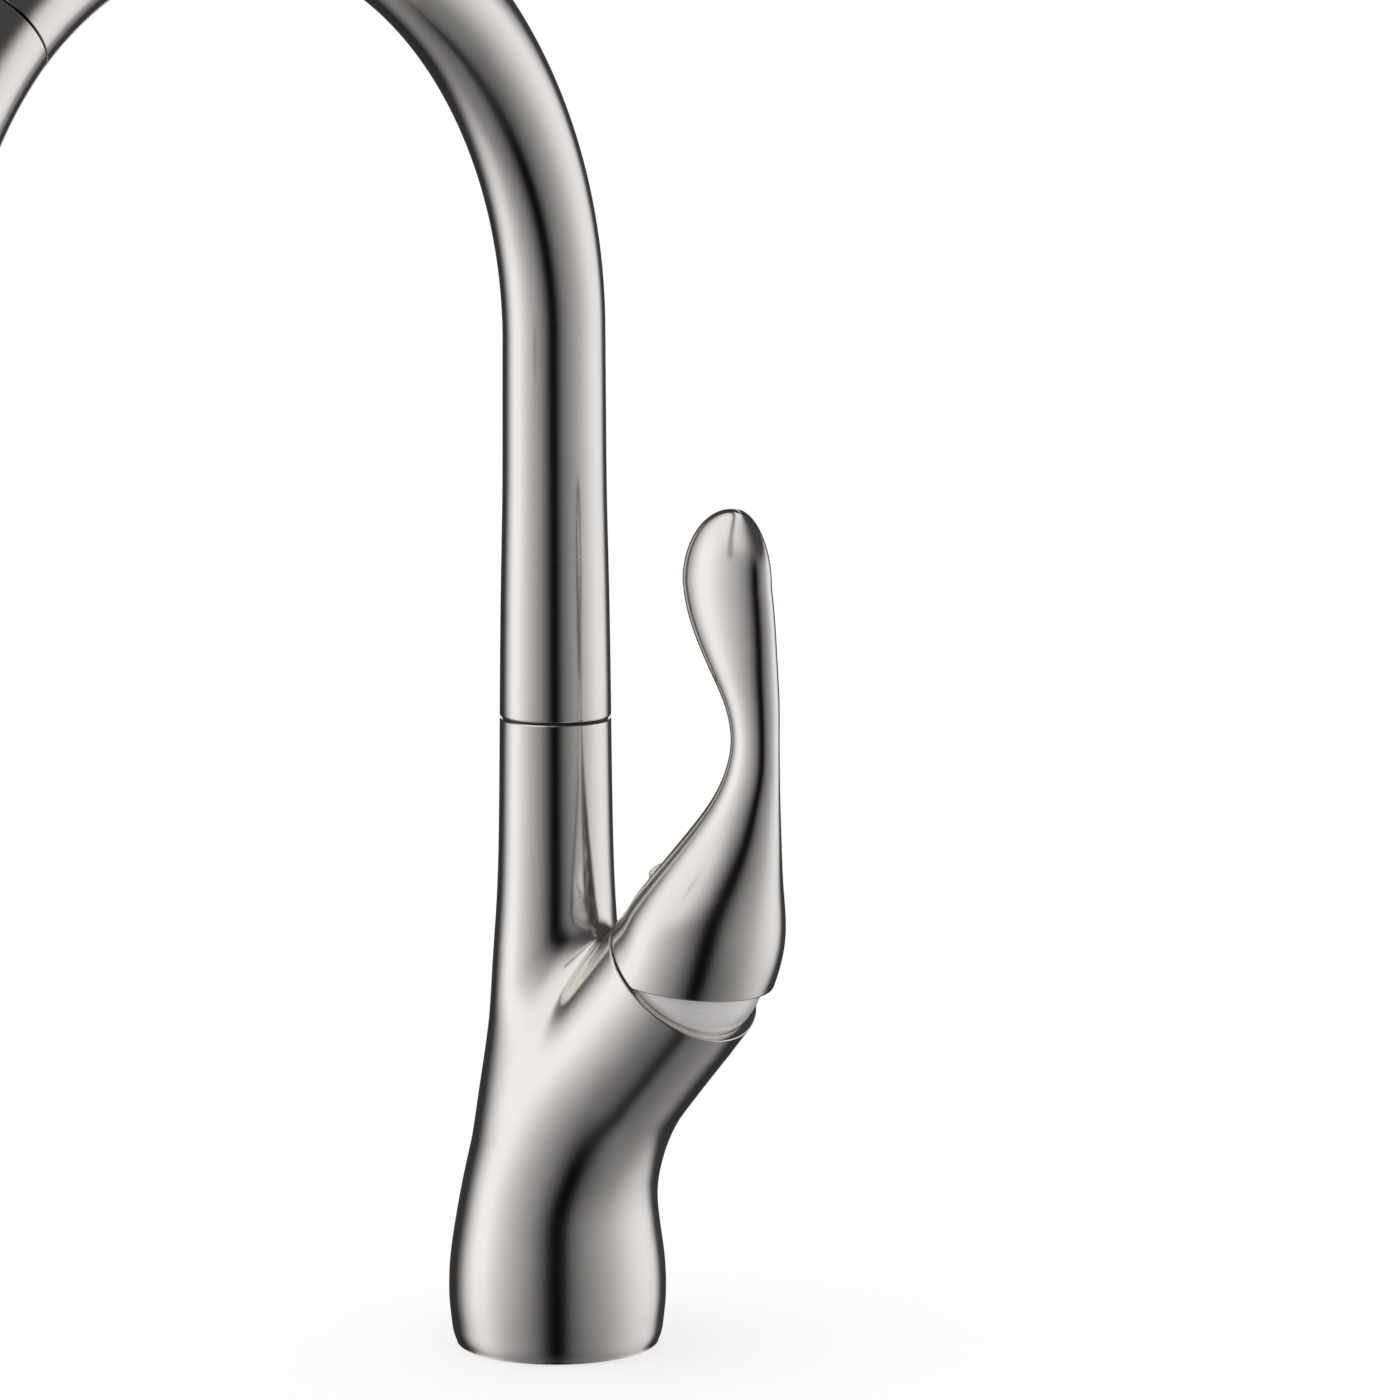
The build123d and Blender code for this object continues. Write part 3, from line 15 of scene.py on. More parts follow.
import bmesh
import bpy
import numpy as np
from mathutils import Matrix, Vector


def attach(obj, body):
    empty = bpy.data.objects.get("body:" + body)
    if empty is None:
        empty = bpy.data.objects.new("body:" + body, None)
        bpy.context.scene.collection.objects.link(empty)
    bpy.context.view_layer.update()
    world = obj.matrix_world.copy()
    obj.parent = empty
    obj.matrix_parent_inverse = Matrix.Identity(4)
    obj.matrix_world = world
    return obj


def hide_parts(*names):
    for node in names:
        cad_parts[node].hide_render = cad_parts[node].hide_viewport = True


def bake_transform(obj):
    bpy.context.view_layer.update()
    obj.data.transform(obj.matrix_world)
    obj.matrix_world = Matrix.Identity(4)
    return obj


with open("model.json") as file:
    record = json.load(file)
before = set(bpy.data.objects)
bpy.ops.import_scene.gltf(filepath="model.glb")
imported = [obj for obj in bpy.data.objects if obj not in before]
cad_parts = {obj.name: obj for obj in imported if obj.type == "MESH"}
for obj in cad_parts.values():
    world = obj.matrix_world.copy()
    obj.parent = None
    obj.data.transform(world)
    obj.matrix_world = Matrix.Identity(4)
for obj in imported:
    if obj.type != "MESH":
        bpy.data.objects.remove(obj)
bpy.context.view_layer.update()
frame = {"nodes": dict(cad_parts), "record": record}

MM = 0.001
MERGE_DISTANCE = 0.002 * MM
SHARP_ANGLE = 40.0  # degrees between faces whose edge stays sharp
NO_CHANGE = 1e-7  # sizes and turns that differ by less count as equal
QUARTER_TURN = np.radians((0.0, 22.5, 45.0, 67.5, 90.0))  # steps of a rounded edge
log = logging.getLogger("faucet")


# ------------------------------------------------------------------------- modelling tools


@dataclass(frozen=True)
class Ring:
    """One ring of a tube.

    Args:
        centre: Its middle, in metres.
        turn: Turn of its plane about the tube's turning axis, in radians.
        half_x: Its half size along X, before the turn.
        half_y: Its half size along Y, before the turn.
    """

    centre: Vector
    turn: float
    half_x: float
    half_y: float


class TurnAxis(Enum):
    """World axis that a tube's rings turn about."""

    X = "X"
    Y = "Y"


def select_only(piece: bpy.types.Object) -> None:
    """Selects one object and makes it the active one.

    Args:
        piece: The object to select.
    """
    bpy.ops.object.select_all(action="DESELECT")
    piece.select_set(True)
    bpy.context.view_layer.objects.active = piece


@contextmanager
def editing(piece: bpy.types.Object) -> Iterator[None]:
    """Edit mode on one object, for the length of a with block.

    Args:
        piece: The object to edit.
    """
    select_only(piece)
    bpy.ops.object.mode_set(mode="EDIT")
    try:
        yield
    finally:
        bpy.ops.object.mode_set(mode="OBJECT")


def select_where(piece: bpy.types.Object, chosen: Sequence[bool], kind: str = "VERT") -> None:
    """Selects elements of the mesh in edit mode.

    Args:
        piece: The object in edit mode.
        chosen: One flag for each vertex or face, in the mesh's order.
        kind: VERT or FACE.
    """
    bpy.ops.mesh.select_mode(type=kind)
    bpy.ops.mesh.select_all(action="DESELECT")
    mesh = bmesh.from_edit_mesh(piece.data)
    elements = mesh.verts if kind == "VERT" else mesh.faces
    for element, flag in zip(elements, chosen):
        element.select_set(bool(flag))
    mesh.select_flush(True)
    bmesh.update_edit_mesh(piece.data)


def new_ring(name: str, ring: Ring, axis: TurnAxis, segments: int) -> bpy.types.Object:
    """Adds a circle as the first ring of a tube and leaves it in edit mode.

    Args:
        name: Name of the new piece.
        ring: Place and size of the first ring.
        axis: Axis that the rings turn about.
        segments: Vertices around the tube.

    Returns:
        The new object, in edit mode with its ring selected.
    """
    bpy.ops.object.select_all(action="DESELECT")
    bpy.ops.mesh.primitive_circle_add(vertices=segments, radius=1.0, location=(0, 0, 0))
    piece = bpy.context.object
    piece.name = name
    piece.data.name = name
    bpy.ops.object.mode_set(mode="EDIT")
    bpy.ops.mesh.select_all(action="SELECT")
    bpy.ops.transform.resize(value=(ring.half_x, ring.half_y, 1.0), center_override=(0, 0, 0))
    bpy.ops.transform.rotate(value=-ring.turn, orient_axis=axis.value, center_override=(0, 0, 0))
    bpy.ops.transform.translate(value=ring.centre)
    return piece


def next_ring(last: Ring, ring: Ring, axis: TurnAxis) -> None:
    """Extrudes the selected ring to the next one, in edit mode.

    Args:
        last: The ring that is selected now.
        ring: Where the new ring goes.
        axis: Axis that the rings turn about.
    """
    bpy.ops.mesh.extrude_edges_move(TRANSFORM_OT_translate={"value": (0, 0, 0)})
    scale = (ring.half_x / last.half_x, ring.half_y / last.half_y, 1.0)
    middle = last.centre
    if max(abs(scale[0] - 1), abs(scale[1] - 1)) > NO_CHANGE:
        if abs(last.turn) > NO_CHANGE:
            bpy.ops.transform.rotate(
                value=last.turn, orient_axis=axis.value, center_override=middle
            )
        bpy.ops.transform.resize(value=scale, center_override=middle)
        if abs(ring.turn) > NO_CHANGE:
            bpy.ops.transform.rotate(
                value=-ring.turn, orient_axis=axis.value, center_override=middle
            )
    elif abs(ring.turn - last.turn) > NO_CHANGE:
        bpy.ops.transform.rotate(
            value=last.turn - ring.turn, orient_axis=axis.value, center_override=middle
        )
    bpy.ops.transform.translate(value=ring.centre - last.centre)


def tube(
    name: str,
    rings: Sequence[Ring],
    axis: TurnAxis = TurnAxis.X,
    segments: int = 96,
    close_end: bool = False,
) -> bpy.types.Object:
    """Models a tube ring by ring, as extrusions of one circle.

    Args:
        name: Name of the new piece.
        rings: Its rings in order.
        axis: Axis that the rings turn about.
        segments: Vertices around the tube.
        close_end: Whether the last ring is filled.

    Returns:
        The new object, out of edit mode.
    """
    piece = new_ring(name, rings[0], axis, segments)
    for last, ring in zip(rings, rings[1:]):
        next_ring(last, ring, axis)
    if close_end:
        bpy.ops.mesh.edge_face_add()
    bpy.ops.object.mode_set(mode="OBJECT")
    return piece


def round_rings(profile: Sequence[tuple[float, float]]) -> list[Ring]:
    """Rings of a turned shape that stands upright.

    Args:
        profile: Pairs of radius and height.

    Returns:
        One ring for each pair.
    """
    return [Ring(Vector((0, 0, height)), 0.0, radius, radius) for radius, height in profile]


def smooth_curve(points: Sequence[Sequence[float]], count: int) -> np.ndarray:
    """Smooth curve through points, by a natural cubic spline over the chord length.

    Args:
        points: Rows of coordinates.
        count: Points wanted along the curve.

    Returns:
        An array of the wanted points, evenly spaced in the chord length.
    """
    rows = np.array(points, float)
    steps = np.linalg.norm(np.diff(rows, axis=0), axis=1)
    knots = np.concatenate([[0.0], np.cumsum(steps)])
    size = len(rows)
    system = np.eye(size)
    right = np.zeros_like(rows)
    for i in range(1, size - 1):
        before, after = steps[i - 1], steps[i]
        system[i, i - 1 : i + 2] = before, 2 * (before + after), after
        right[i] = 6 * ((rows[i + 1] - rows[i]) / after - (rows[i] - rows[i - 1]) / before)
    bend = np.linalg.solve(system, right)
    wanted = np.linspace(0.0, knots[-1], count)
    span = np.clip(np.searchsorted(knots, wanted, side="right") - 1, 0, size - 2)
    width = steps[span][:, None]
    ahead = (wanted - knots[span])[:, None] / width
    back = 1.0 - ahead
    straight = back * rows[span] + ahead * rows[span + 1]
    curved = (back**3 - back) * bend[span] + (ahead**3 - ahead) * bend[span + 1]
    return straight + curved * width**2 / 6


def apply_modifier(piece: bpy.types.Object, kind: str, **settings: object) -> None:
    """Adds a modifier to a piece and applies it.

    Args:
        piece: The object to change.
        kind: Blender's name of the modifier type.
        **settings: The modifier's settings.
    """
    select_only(piece)
    modifier = piece.modifiers.new(kind.title(), kind)
    for key, value in settings.items():
        setattr(modifier, key, value)
    bpy.ops.object.modifier_apply(modifier=modifier.name)


def cut_away(piece: bpy.types.Object, tool: bpy.types.Object) -> None:
    """Cuts the tool's shape out of a piece, and deletes the tool."""
    apply_modifier(piece, "BOOLEAN", operation="DIFFERENCE", object=tool, solver="EXACT")
    bpy.data.objects.remove(tool)


def finish_mesh(piece: bpy.types.Object) -> None:
    """Merges doubles, turns the faces outwards and shades the piece smooth.

    Args:
        piece: The object to finish.
    """
    with editing(piece):
        bpy.ops.mesh.select_all(action="SELECT")
        bpy.ops.mesh.remove_doubles(threshold=MERGE_DISTANCE)
        bpy.ops.mesh.normals_make_consistent(inside=False)
    select_only(piece)
    bpy.ops.object.shade_smooth_by_angle(angle=math.radians(SHARP_ANGLE))


# -------------------------------------------------------------------------------- finishes


def srgb(hex_code: str) -> tuple[float, float, float, float]:
    """Turns an sRGB hex code into Blender's linear colour.

    Args:
        hex_code: The code, with its #.

    Returns:
        Red, green, blue and alpha.
    """
    parts = [int(hex_code[i : i + 2], 16) / 255 for i in (1, 3, 5)]
    linear = [v / 12.92 if v <= 0.04045 else ((v + 0.055) / 1.055) ** 2.4 for v in parts]
    return (linear[0], linear[1], linear[2], 1.0)


def add_node(
    tree: bpy.types.NodeTree,
    kind: str,
    links: dict[str | int, bpy.types.NodeSocket] | None = None,
    **settings: object,
) -> bpy.types.Node:
    """Adds a node with its settings and its links.

    Args:
        tree: The node tree.
        kind: Blender's name of the node type.
        links: Sockets that feed the node's inputs, by the input's name or place.
        **settings: Properties of the node, and values of its inputs by name with _ for a space.

    Returns:
        The new node.
    """
    node = tree.nodes.new(kind)
    for key, value in settings.items():
        if hasattr(node, key):
            setattr(node, key, value)
        else:
            node.inputs[key.replace("_", " ")].default_value = value
    for key, socket in (links or {}).items():
        tree.links.new(socket, node.inputs[key])
    return node


@dataclass(frozen=True)
class Finish:
    """Base of every finish: a named material with one Principled shader.

    Args:
        name: Name of the material.
    """

    name: str

    def build(self) -> bpy.types.Material:
        """Makes the material, unless it is made already.

        Returns:
            The material.
        """
        known = bpy.data.materials.get(self.name)
        if known:
            return known
        material = bpy.data.materials.new(self.name)
        material.use_nodes = True
        tree = material.node_tree
        self.dress(tree, tree.nodes["Principled BSDF"])
        return material

    def dress(self, tree: bpy.types.NodeTree, shader: bpy.types.Node) -> None:
        """Sets the shader and adds the pattern's nodes.

        Args:
            tree: The node tree.
            shader: The Principled shader.
        """
        raise NotImplementedError

    @staticmethod
    def spots(tree: bpy.types.NodeTree) -> bpy.types.NodeSocket:
        """Socket of the piece's own coordinates."""
        return add_node(tree, "ShaderNodeTexCoord").outputs["Object"]

    @staticmethod
    def clouds(
        tree: bpy.types.NodeTree, spots: bpy.types.NodeSocket, size: float, detail: float
    ) -> bpy.types.NodeSocket:
        """Adds soft patches.

        Args:
            tree: The node tree.
            spots: Socket of the coordinates.
            size: Size of a patch.
            detail: Steps of finer patches in it.

        Returns:
            Socket of the patches, from 0 to 1.
        """
        noise = add_node(
            tree, "ShaderNodeTexNoise", {"Vector": spots}, Scale=1.0 / size, Detail=detail
        )
        return noise.outputs["Fac"]

    @staticmethod
    def level_lines(
        tree: bpy.types.NodeTree, spots: bpy.types.NodeSocket, length: float, spacing: float
    ) -> bpy.types.NodeSocket:
        """Adds fine lines that run level around the piece.

        Args:
            tree: The node tree.
            spots: Socket of the coordinates.
            length: Length of a line.
            spacing: Distance between lines.

        Returns:
            Socket of the lines, from 0 to 1.
        """
        spread = add_node(
            tree, "ShaderNodeMapping", {"Vector": spots},
            Scale=(1.0 / length, 1.0 / length, 1.0 / spacing),
        )
        return Finish.clouds(tree, spread.outputs["Vector"], 1.0, 2.0)

    @staticmethod
    def two_tone(
        tree: bpy.types.NodeTree, shader: bpy.types.Node, share: bpy.types.NodeSocket,
        one: Sequence[float], other: Sequence[float],
    ) -> None:
        """Colours the shader between two tones.

        Args:
            tree: The node tree.
            shader: The Principled shader.
            share: Socket of the second tone's share.
            one: Linear colour at share 0.
            other: Linear colour at share 1.
        """
        shade = add_node(tree, "ShaderNodeMix", {"Factor": share}, data_type="RGBA")
        shade.inputs[6].default_value = one
        shade.inputs[7].default_value = other
        tree.links.new(shade.outputs[2], shader.inputs["Base Color"])

    @staticmethod
    def haze(
        tree: bpy.types.NodeTree, shader: bpy.types.Node, marks: bpy.types.NodeSocket,
        roughness: float, spread: float,
    ) -> None:
        """Lets the shader's roughness rise and fall with its marks.

        Args:
            tree: The node tree.
            shader: The Principled shader.
            marks: Socket of the marks, from 0 to 1.
            roughness: Mean roughness.
            spread: Share of it by which it rises and falls.
        """
        node = add_node(
            tree, "ShaderNodeMapRange", {"Value": marks},
            To_Min=roughness * (1 - spread), To_Max=roughness * (1 + spread),
        )
        tree.links.new(node.outputs["Result"], shader.inputs["Roughness"])

    @staticmethod
    def bump(
        tree: bpy.types.NodeTree, shader: bpy.types.Node, height: bpy.types.NodeSocket,
        depth: float,
    ) -> None:
        """Feeds a height into the shader's normal.

        Args:
            tree: The node tree.
            shader: The Principled shader.
            height: Socket of the height, from 0 to 1.
            depth: Depth of the relief in metres.
        """
        node = add_node(tree, "ShaderNodeBump", {"Height": height}, Distance=depth, Strength=1.0)
        tree.links.new(node.outputs["Normal"], shader.inputs["Normal"])


@dataclass(frozen=True)
class SatinNickel(Finish):
    """Nickel plate over a satin-brushed casting: mirror-like with a soft haze and faint lines.

    Args:
        name: Name of the material.
        colour: sRGB hex of the plate.
        roughness: Haze of the plate.
        line_length: Length of a brush line.
        line_spacing: Distance between brush lines, drawn coarser than the real grit.
        line_depth: Depth of the lines.
        metal: Share of bare metal, the rest being matt in the plate's colour; on the dome ring that
            pale matt share is a painted sheen.
        dull: sRGB hex of the plate's duller patches.
        patch: Size of those patches.
    """

    colour: str = "#E2DEDB"
    roughness: float = 0.16
    line_length: float = 40.0 * MM
    line_spacing: float = 0.25 * MM
    line_depth: float = 0.0004 * MM
    metal: float = 1.0
    dull: str = "#DDD9D6"
    patch: float = 25.0 * MM

    def dress(self, tree: bpy.types.NodeTree, shader: bpy.types.Node) -> None:
        """Sets a metal whose brush lines run level around the piece.

        Args:
            tree: The node tree.
            shader: The Principled shader.
        """
        spots = self.spots(tree)
        lines = self.level_lines(tree, spots, self.line_length, self.line_spacing)
        patches = self.clouds(tree, spots, self.patch, 1.0)
        self.two_tone(tree, shader, patches, srgb(self.colour), srgb(self.dull))
        self.haze(tree, shader, lines, self.roughness, 0.2)
        self.bump(tree, shader, lines, self.line_depth)
        shader.inputs["Metallic"].default_value = self.metal


@dataclass(frozen=True)
class PlainMetal(Finish):
    """Turned or drawn metal: fine tool marks and a slightly uneven tone.

    Args:
        name: Name of the material.
        colour: sRGB hex of the bright metal.
        dull: sRGB hex of its duller patches.
        roughness: Haze of the surface.
        mark_length: Length of a tool mark.
        mark_spacing: Distance between tool marks.
        mark_depth: Depth of the marks.
        patch: Size of the duller patches.
    """

    colour: str
    dull: str
    roughness: float
    mark_length: float = 20.0 * MM
    mark_spacing: float = 0.4 * MM
    mark_depth: float = 0.004 * MM
    patch: float = 12.0 * MM

    def dress(self, tree: bpy.types.NodeTree, shader: bpy.types.Node) -> None:
        """Sets a metal with level tool marks and cloudy patches.

        Args:
            tree: The node tree.
            shader: The Principled shader.
        """
        spots = self.spots(tree)
        marks = self.level_lines(tree, spots, self.mark_length, self.mark_spacing)
        patches = self.clouds(tree, spots, self.patch, 3.0)
        self.two_tone(tree, shader, patches, srgb(self.colour), srgb(self.dull))
        self.haze(tree, shader, marks, self.roughness, 0.25)
        self.bump(tree, shader, marks, self.mark_depth)
        shader.inputs["Metallic"].default_value = 1.0


@dataclass(frozen=True)
class Moulded(Finish):
    """Moulded polymer, rubber or ceramic: an even colour with a fine eroded grain.

    Args:
        name: Name of the material.
        colour: sRGB hex of the moulding.
        roughness: Haze of the surface.
        grain: Size of the mould's grain.
        depth: Depth of the grain.
        darkest: Level of the darkest grains, of the colour's own.
        ior: Index of refraction.
    """

    colour: str
    roughness: float
    grain: float = 0.5 * MM
    depth: float = 0.01 * MM
    darkest: float = 0.86
    ior: float = 1.5

    def dress(self, tree: bpy.types.NodeTree, shader: bpy.types.Node) -> None:
        """Sets a dielectric with a grained surface.

        Args:
            tree: The node tree.
            shader: The Principled shader.
        """
        grain = self.clouds(tree, self.spots(tree), self.grain, 2.0)
        base = srgb(self.colour)
        darker = tuple(channel * self.darkest for channel in base[:3]) + (1.0,)
        self.two_tone(tree, shader, grain, base, darker)
        self.haze(tree, shader, grain, self.roughness, 0.15)
        self.bump(tree, shader, grain, self.depth)
        shader.inputs["IOR"].default_value = self.ior


@dataclass(frozen=True)
class BraidedNylon(Finish):
    """Braided nylon sleeve: crossing strands, light over dark.

    Args:
        name: Name of the material.
        light: sRGB hex of the strands.
        dark: sRGB hex between them.
        strand: Width of a strand.
        lean: Lean of the strands to either side, in degrees.
        relief: How far the strands stand out.
        roughness: Haze of the surface.
    """

    light: str
    dark: str
    strand: float = 1.1 * MM
    lean: float = 45.0
    relief: float = 0.2 * MM
    roughness: float = 0.55

    def dress(self, tree: bpy.types.NodeTree, shader: bpy.types.Node) -> None:
        """Sets two crossing sets of strands as colour and relief.

        Args:
            tree: The node tree.
            shader: The Principled shader.
        """
        spots = self.spots(tree)
        sets = []
        for lean in (math.radians(self.lean), -math.radians(self.lean)):
            turned = add_node(
                tree, "ShaderNodeMapping", {"Vector": spots},
                Rotation=(lean, lean, 0.0), Scale=(1.0 / self.strand,) * 3,
            )
            strands = add_node(
                tree, "ShaderNodeTexWave", {"Vector": turned.outputs["Vector"]},
                bands_direction="Z", Scale=0.5,
            )
            sets.append(strands.outputs["Fac"])
        upper = add_node(tree, "ShaderNodeMath", {0: sets[0], 1: sets[1]}, operation="MAXIMUM")
        weave = upper.outputs["Value"]
        self.two_tone(tree, shader, weave, srgb(self.dark), srgb(self.light))
        self.bump(tree, shader, weave, self.relief)
        shader.inputs["Roughness"].default_value = self.roughness


@dataclass(frozen=True)
class ClearAcrylic(Finish):
    """Clear moulded acrylic plug: glassy, with a faint cloud inside.

    Args:
        name: Name of the material.
        colour: sRGB hex of the acrylic.
        roughness: Haze of the surface.
        ior: Index of refraction.
        clearness: Share of light that goes through.
        wave: Size of the surface's waves.
        depth: Depth of the waves.
    """

    colour: str = "#F4F6F6"
    roughness: float = 0.08
    ior: float = 1.49
    clearness: float = 0.6
    wave: float = 1.5 * MM
    depth: float = 0.02 * MM

    def dress(self, tree: bpy.types.NodeTree, shader: bpy.types.Node) -> None:
        """Sets a clear dielectric with a slight waviness.

        Args:
            tree: The node tree.
            shader: The Principled shader.
        """
        waves = self.clouds(tree, self.spots(tree), self.wave, 1.0)
        shader.inputs["Base Color"].default_value = srgb(self.colour)
        shader.inputs["Roughness"].default_value = self.roughness
        shader.inputs["IOR"].default_value = self.ior
        shader.inputs["Transmission Weight"].default_value = self.clearness
        self.bump(tree, shader, waves, self.depth)


NICKEL = SatinNickel("satin_nickel_plate")
# Paler, partly matt copy of the nickel plate for the dome ring: its near-white colour is a painted
# sheen in place of the plated ring's bright reflection.
NICKEL_DOME_PAINTED_SHEEN = SatinNickel(
    "dome_nickel_painted_sheen", "#F4F4F4", 0.28, line_depth=0.00005 * MM, metal=0.35
)
STEEL = PlainMetal("bright_stainless", "#C9CACB", "#AFB0B2", 0.28)
BRASS = PlainMetal("turned_brass", "#D9B469", "#B98F4A", 0.3)
COPPER = PlainMetal("drawn_copper", "#D98A63", "#AD6442", 0.32)
STEM_METAL = PlainMetal("nickel_plated_stem", "#CFC8B6", "#B7AE98", 0.3)
SEAL_RUBBER = Moulded("seal_rubber", "#1C1C1D", 0.75)
SILICONE = Moulded("nozzle_silicone", "#3B3C3E", 0.6)
BLACK_ACETAL = Moulded("black_acetal", "#18191A", 0.45)
GREY_ABS = Moulded("grey_abs", "#5D5F61", 0.42)
WHITE_ACETAL = Moulded("white_acetal", "#E6E6E2", 0.4)
CERAMIC = Moulded("lapped_alumina", "#F1EFEB", 0.25, 0.3 * MM, 0.002 * MM)
BRAID = BraidedNylon("braided_nylon", "#6E7073", "#1B1C1E")
ACRYLIC = ClearAcrylic("clear_acrylic")

SLOT_FINISH = {
    "brushed_nickel": NICKEL,
    "bright_steel": STEEL,
    "bare_brass": BRASS,
    "bare_copper": COPPER,
    "black_rubber": SEAL_RUBBER,
    "grey_silicone": SILICONE,
    "hose_braid": BRAID,
    "black_plastic": BLACK_ACETAL,
    "grey_plastic": GREY_ABS,
    "white_plastic": WHITE_ACETAL,
    "white_ceramic": CERAMIC,
    "stem_metal": STEM_METAL,
    "clear_plug": ACRYLIC,
}


def dress(piece: bpy.types.Object, finish: Finish) -> None:
    """Gives a piece one finish all over."""
    piece.data.materials.clear()
    piece.data.materials.append(finish.build())


def place(piece: bpy.types.Object, body: str, slot: str, nodes: Sequence[str]) -> None:
    """Dresses a new piece, sets it on its body and hides what it stands for.

    Args:
        piece: The finished piece.
        body: Body that it rides on.
        slot: Material slot of the record.
        nodes: CAD nodes that it replaces.
    """
    dress(piece, SLOT_FINISH[slot])
    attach(piece, body)
    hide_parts(*nodes)
    log.info("%s: %d faces, rides on %s", piece.name, len(piece.data.polygons), body)


# --------------------------------------------------------------------------------- faucet


@dataclass(frozen=True)
class BranchLine:
    """Centre line of the side branch: upright in the base, then a bend and a straight run.

    Args:
        tilt: Lean of the branch from vertical, in degrees.
        foot: Height where the two straight runs would meet.
        reach: Distance from there to each end of the bend.
    """

    tilt: float = 42.43
    foot: float = 55.0 * MM
    reach: float = 30.0 * MM

    @property
    def lean(self) -> float:
        """Lean in radians."""
        return math.radians(self.tilt)

    @property
    def along(self) -> Vector:
        """Direction of the branch."""
        return Vector((math.sin(self.lean), 0.0, math.cos(self.lean)))

    @property
    def bend_radius(self) -> float:
        """Radius of the bend's centre line."""
        return self.reach / math.tan(self.lean / 2)

    def at(self, distance: float) -> Vector:
        """Point of the centre line, by the distance past the foot."""
        return Vector((0.0, 0.0, self.foot)) + self.along * distance

    def ring(self, distance: float, radius: float) -> Ring:
        """Ring square to the straight run."""
        return Ring(self.at(distance), self.lean, radius, radius)


